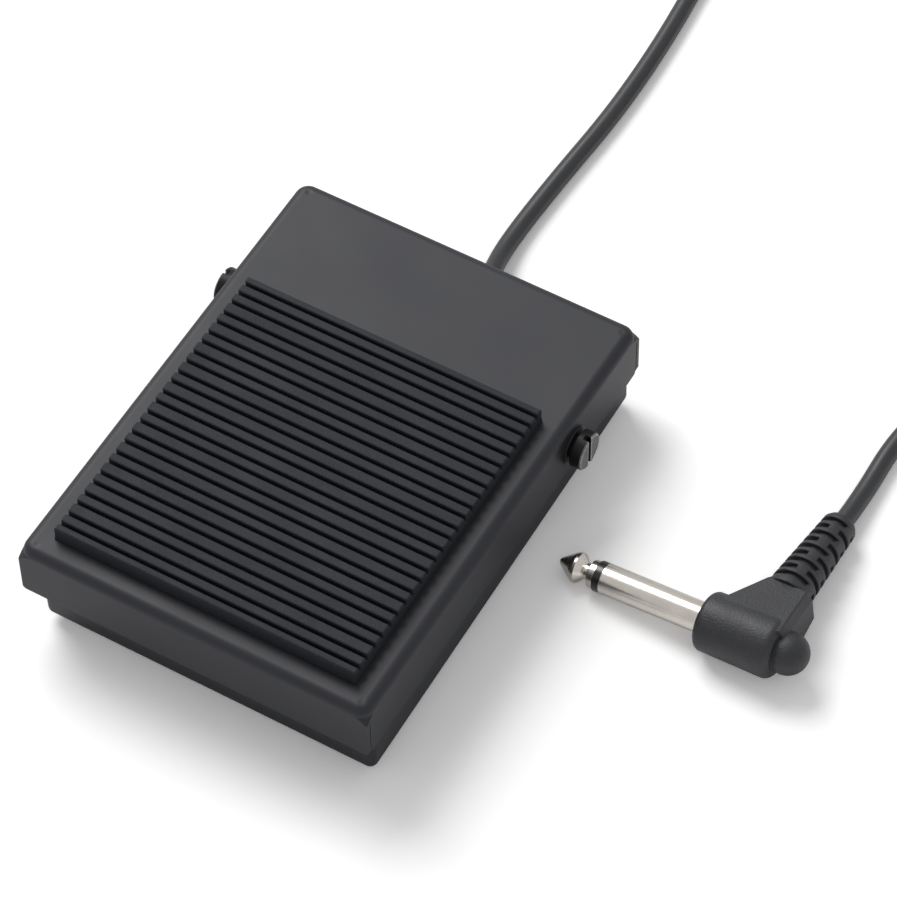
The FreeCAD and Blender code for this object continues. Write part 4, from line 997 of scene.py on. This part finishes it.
class PEDAL_OT_dress_plug(bpy.types.Operator):
    """Finish the plug's moulding, relief and contacts"""

    bl_idname = "pedal.dress_plug"
    bl_label = "Dress Plug"

    def execute(self, context):
        hues = context.scene.pedal_colours
        sizes = context.scene.pedal_finish
        moulding = soft_pvc(
            "plug_moulding_pvc",
            rgba(hues.moulding),
            grain=sizes.moulding_grain,
            depth=0.14 * MM,
            speck=0.35,
            rough=0.5,
            edge=sizes.moulding_edge,
        )
        nickel = plated_metal(
            "nickel_plate",
            rgba(hues.nickel),
            rough=0.2,
            grain=sizes.scratch,
            depth=0.003 * MM,
            edge=sizes.small_edge,
            stretch=(6, 1, 1),
        )
        ring = hard_plastic("insulating_ring", rgba(hues.insulator), rough=0.25, glow=0.0, edge=0.1 * MM)
        coat(moulding, "plug_body", "plug_relief")
        coat(nickel, "plug_sleeve", "plug_tip")
        coat(ring, "plug_insulator")
        return {"FINISHED"}


class PEDAL_OT_set_stage(bpy.types.Operator):
    """Set the camera, the white paper and the soft lights"""

    bl_idname = "pedal.set_stage"
    bl_label = "Set Stage"

    def execute(self, context):
        scene = context.scene
        stage = scene.pedal_stage
        camera_data = bpy.data.cameras.new("camera")
        camera_data.lens = stage.focal_length
        camera_data.sensor_width = 36.0
        camera_data.clip_start = 0.01
        camera_data.clip_end = 50.0
        camera = bpy.data.objects.new("camera", camera_data)
        turn = Matrix.Rotation(stage.camera_turn, 4, "Z")
        tip = Matrix.Rotation(math.pi / 2 - stage.camera_rise, 4, "X")
        lean = Matrix.Rotation(stage.camera_roll, 4, "Z")
        camera.matrix_world = Matrix.Translation(stage.camera_place) @ turn @ tip @ lean
        scene.collection.objects.link(camera)
        scene.camera = camera

        sheet = bpy.data.meshes.new("paper")
        made = bmesh.new()
        bmesh.ops.create_grid(made, x_segments=1, y_segments=1, size=stage.floor_size / 2)
        made.to_mesh(sheet)
        made.free()
        floor = bpy.data.objects.new("paper", sheet)
        # The paper lies a hair under the feet, so that no two faces share a place
        floor.location.z = -0.05 * MM
        paper = white_paper(
            "white_paper",
            rgba(stage.floor),
            stage.paper_glow,
            stage.paper_lift,
            stage.fade_near,
            stage.fade_far,
        )
        sheet.materials.append(paper)
        scene.collection.objects.link(floor)

        key_data = bpy.data.lights.new("key", "AREA")
        key_data.shape = "SQUARE"
        key_data.size = stage.key_size
        key_data.energy = stage.key_power
        key = bpy.data.objects.new("key", key_data)
        key.location = stage.key_place
        key.rotation_mode = "QUATERNION"
        key.rotation_quaternion = (-key.location).to_track_quat("-Z", "Y")
        scene.collection.objects.link(key)

        scene.world = white_room("studio", stage.room_light, stage.room_shine)
        scene.view_settings.view_transform = "Standard"
        return {"FINISHED"}


class PEDAL_PT_sidebar(bpy.types.Panel):
    """Sizes, colours and steps of the foot pedal"""

    bl_idname = "PEDAL_PT_sidebar"
    bl_label = "Foot Pedal"
    bl_space_type = "VIEW_3D"
    bl_region_type = "UI"
    bl_category = "Foot Pedal"

    def draw(self, context):
        for operator in OPERATORS:
            self.layout.operator(operator.bl_idname)
        for attribute, group in GROUPS.items():
            settings = getattr(context.scene, attribute)
            box = self.layout.box()
            for name in group.__annotations__:
                box.prop(settings, name)


OPERATORS = [
    PEDAL_OT_set_stage,
    PEDAL_OT_lay_lead,
    PEDAL_OT_paint_shell,
    PEDAL_OT_dress_rubber,
    PEDAL_OT_finish_hardware,
    PEDAL_OT_fit_spring,
    PEDAL_OT_finish_switch,
    PEDAL_OT_dress_plug,
]
GROUPS = {
    "pedal_lead": LeadSizes,
    "pedal_spring": SpringSizes,
    "pedal_finish": FinishSizes,
    "pedal_colours": FinishColours,
    "pedal_stage": StageSettings,
}


def register():
    """Register the settings, the operators and the panel."""
    for made in [*GROUPS.values(), *OPERATORS, PEDAL_PT_sidebar]:
        bpy.utils.register_class(made)
    for attribute, group in GROUPS.items():
        setattr(bpy.types.Scene, attribute, PointerProperty(type=group))


def unregister():
    """Take the settings, the operators and the panel away again."""
    for attribute in GROUPS:
        delattr(bpy.types.Scene, attribute)
    for made in [PEDAL_PT_sidebar, *reversed(OPERATORS), *reversed(GROUPS.values())]:
        bpy.utils.unregister_class(made)


def main():
    """Set the stage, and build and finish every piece."""
    register()
    bpy.ops.pedal.set_stage()
    bpy.ops.pedal.lay_lead()
    bpy.ops.pedal.paint_shell()
    bpy.ops.pedal.dress_rubber()
    bpy.ops.pedal.finish_hardware()
    bpy.ops.pedal.fit_spring()
    bpy.ops.pedal.finish_switch()
    bpy.ops.pedal.dress_plug()
    bpy.context.view_layer.update()


if __name__ == "__main__":
    main()
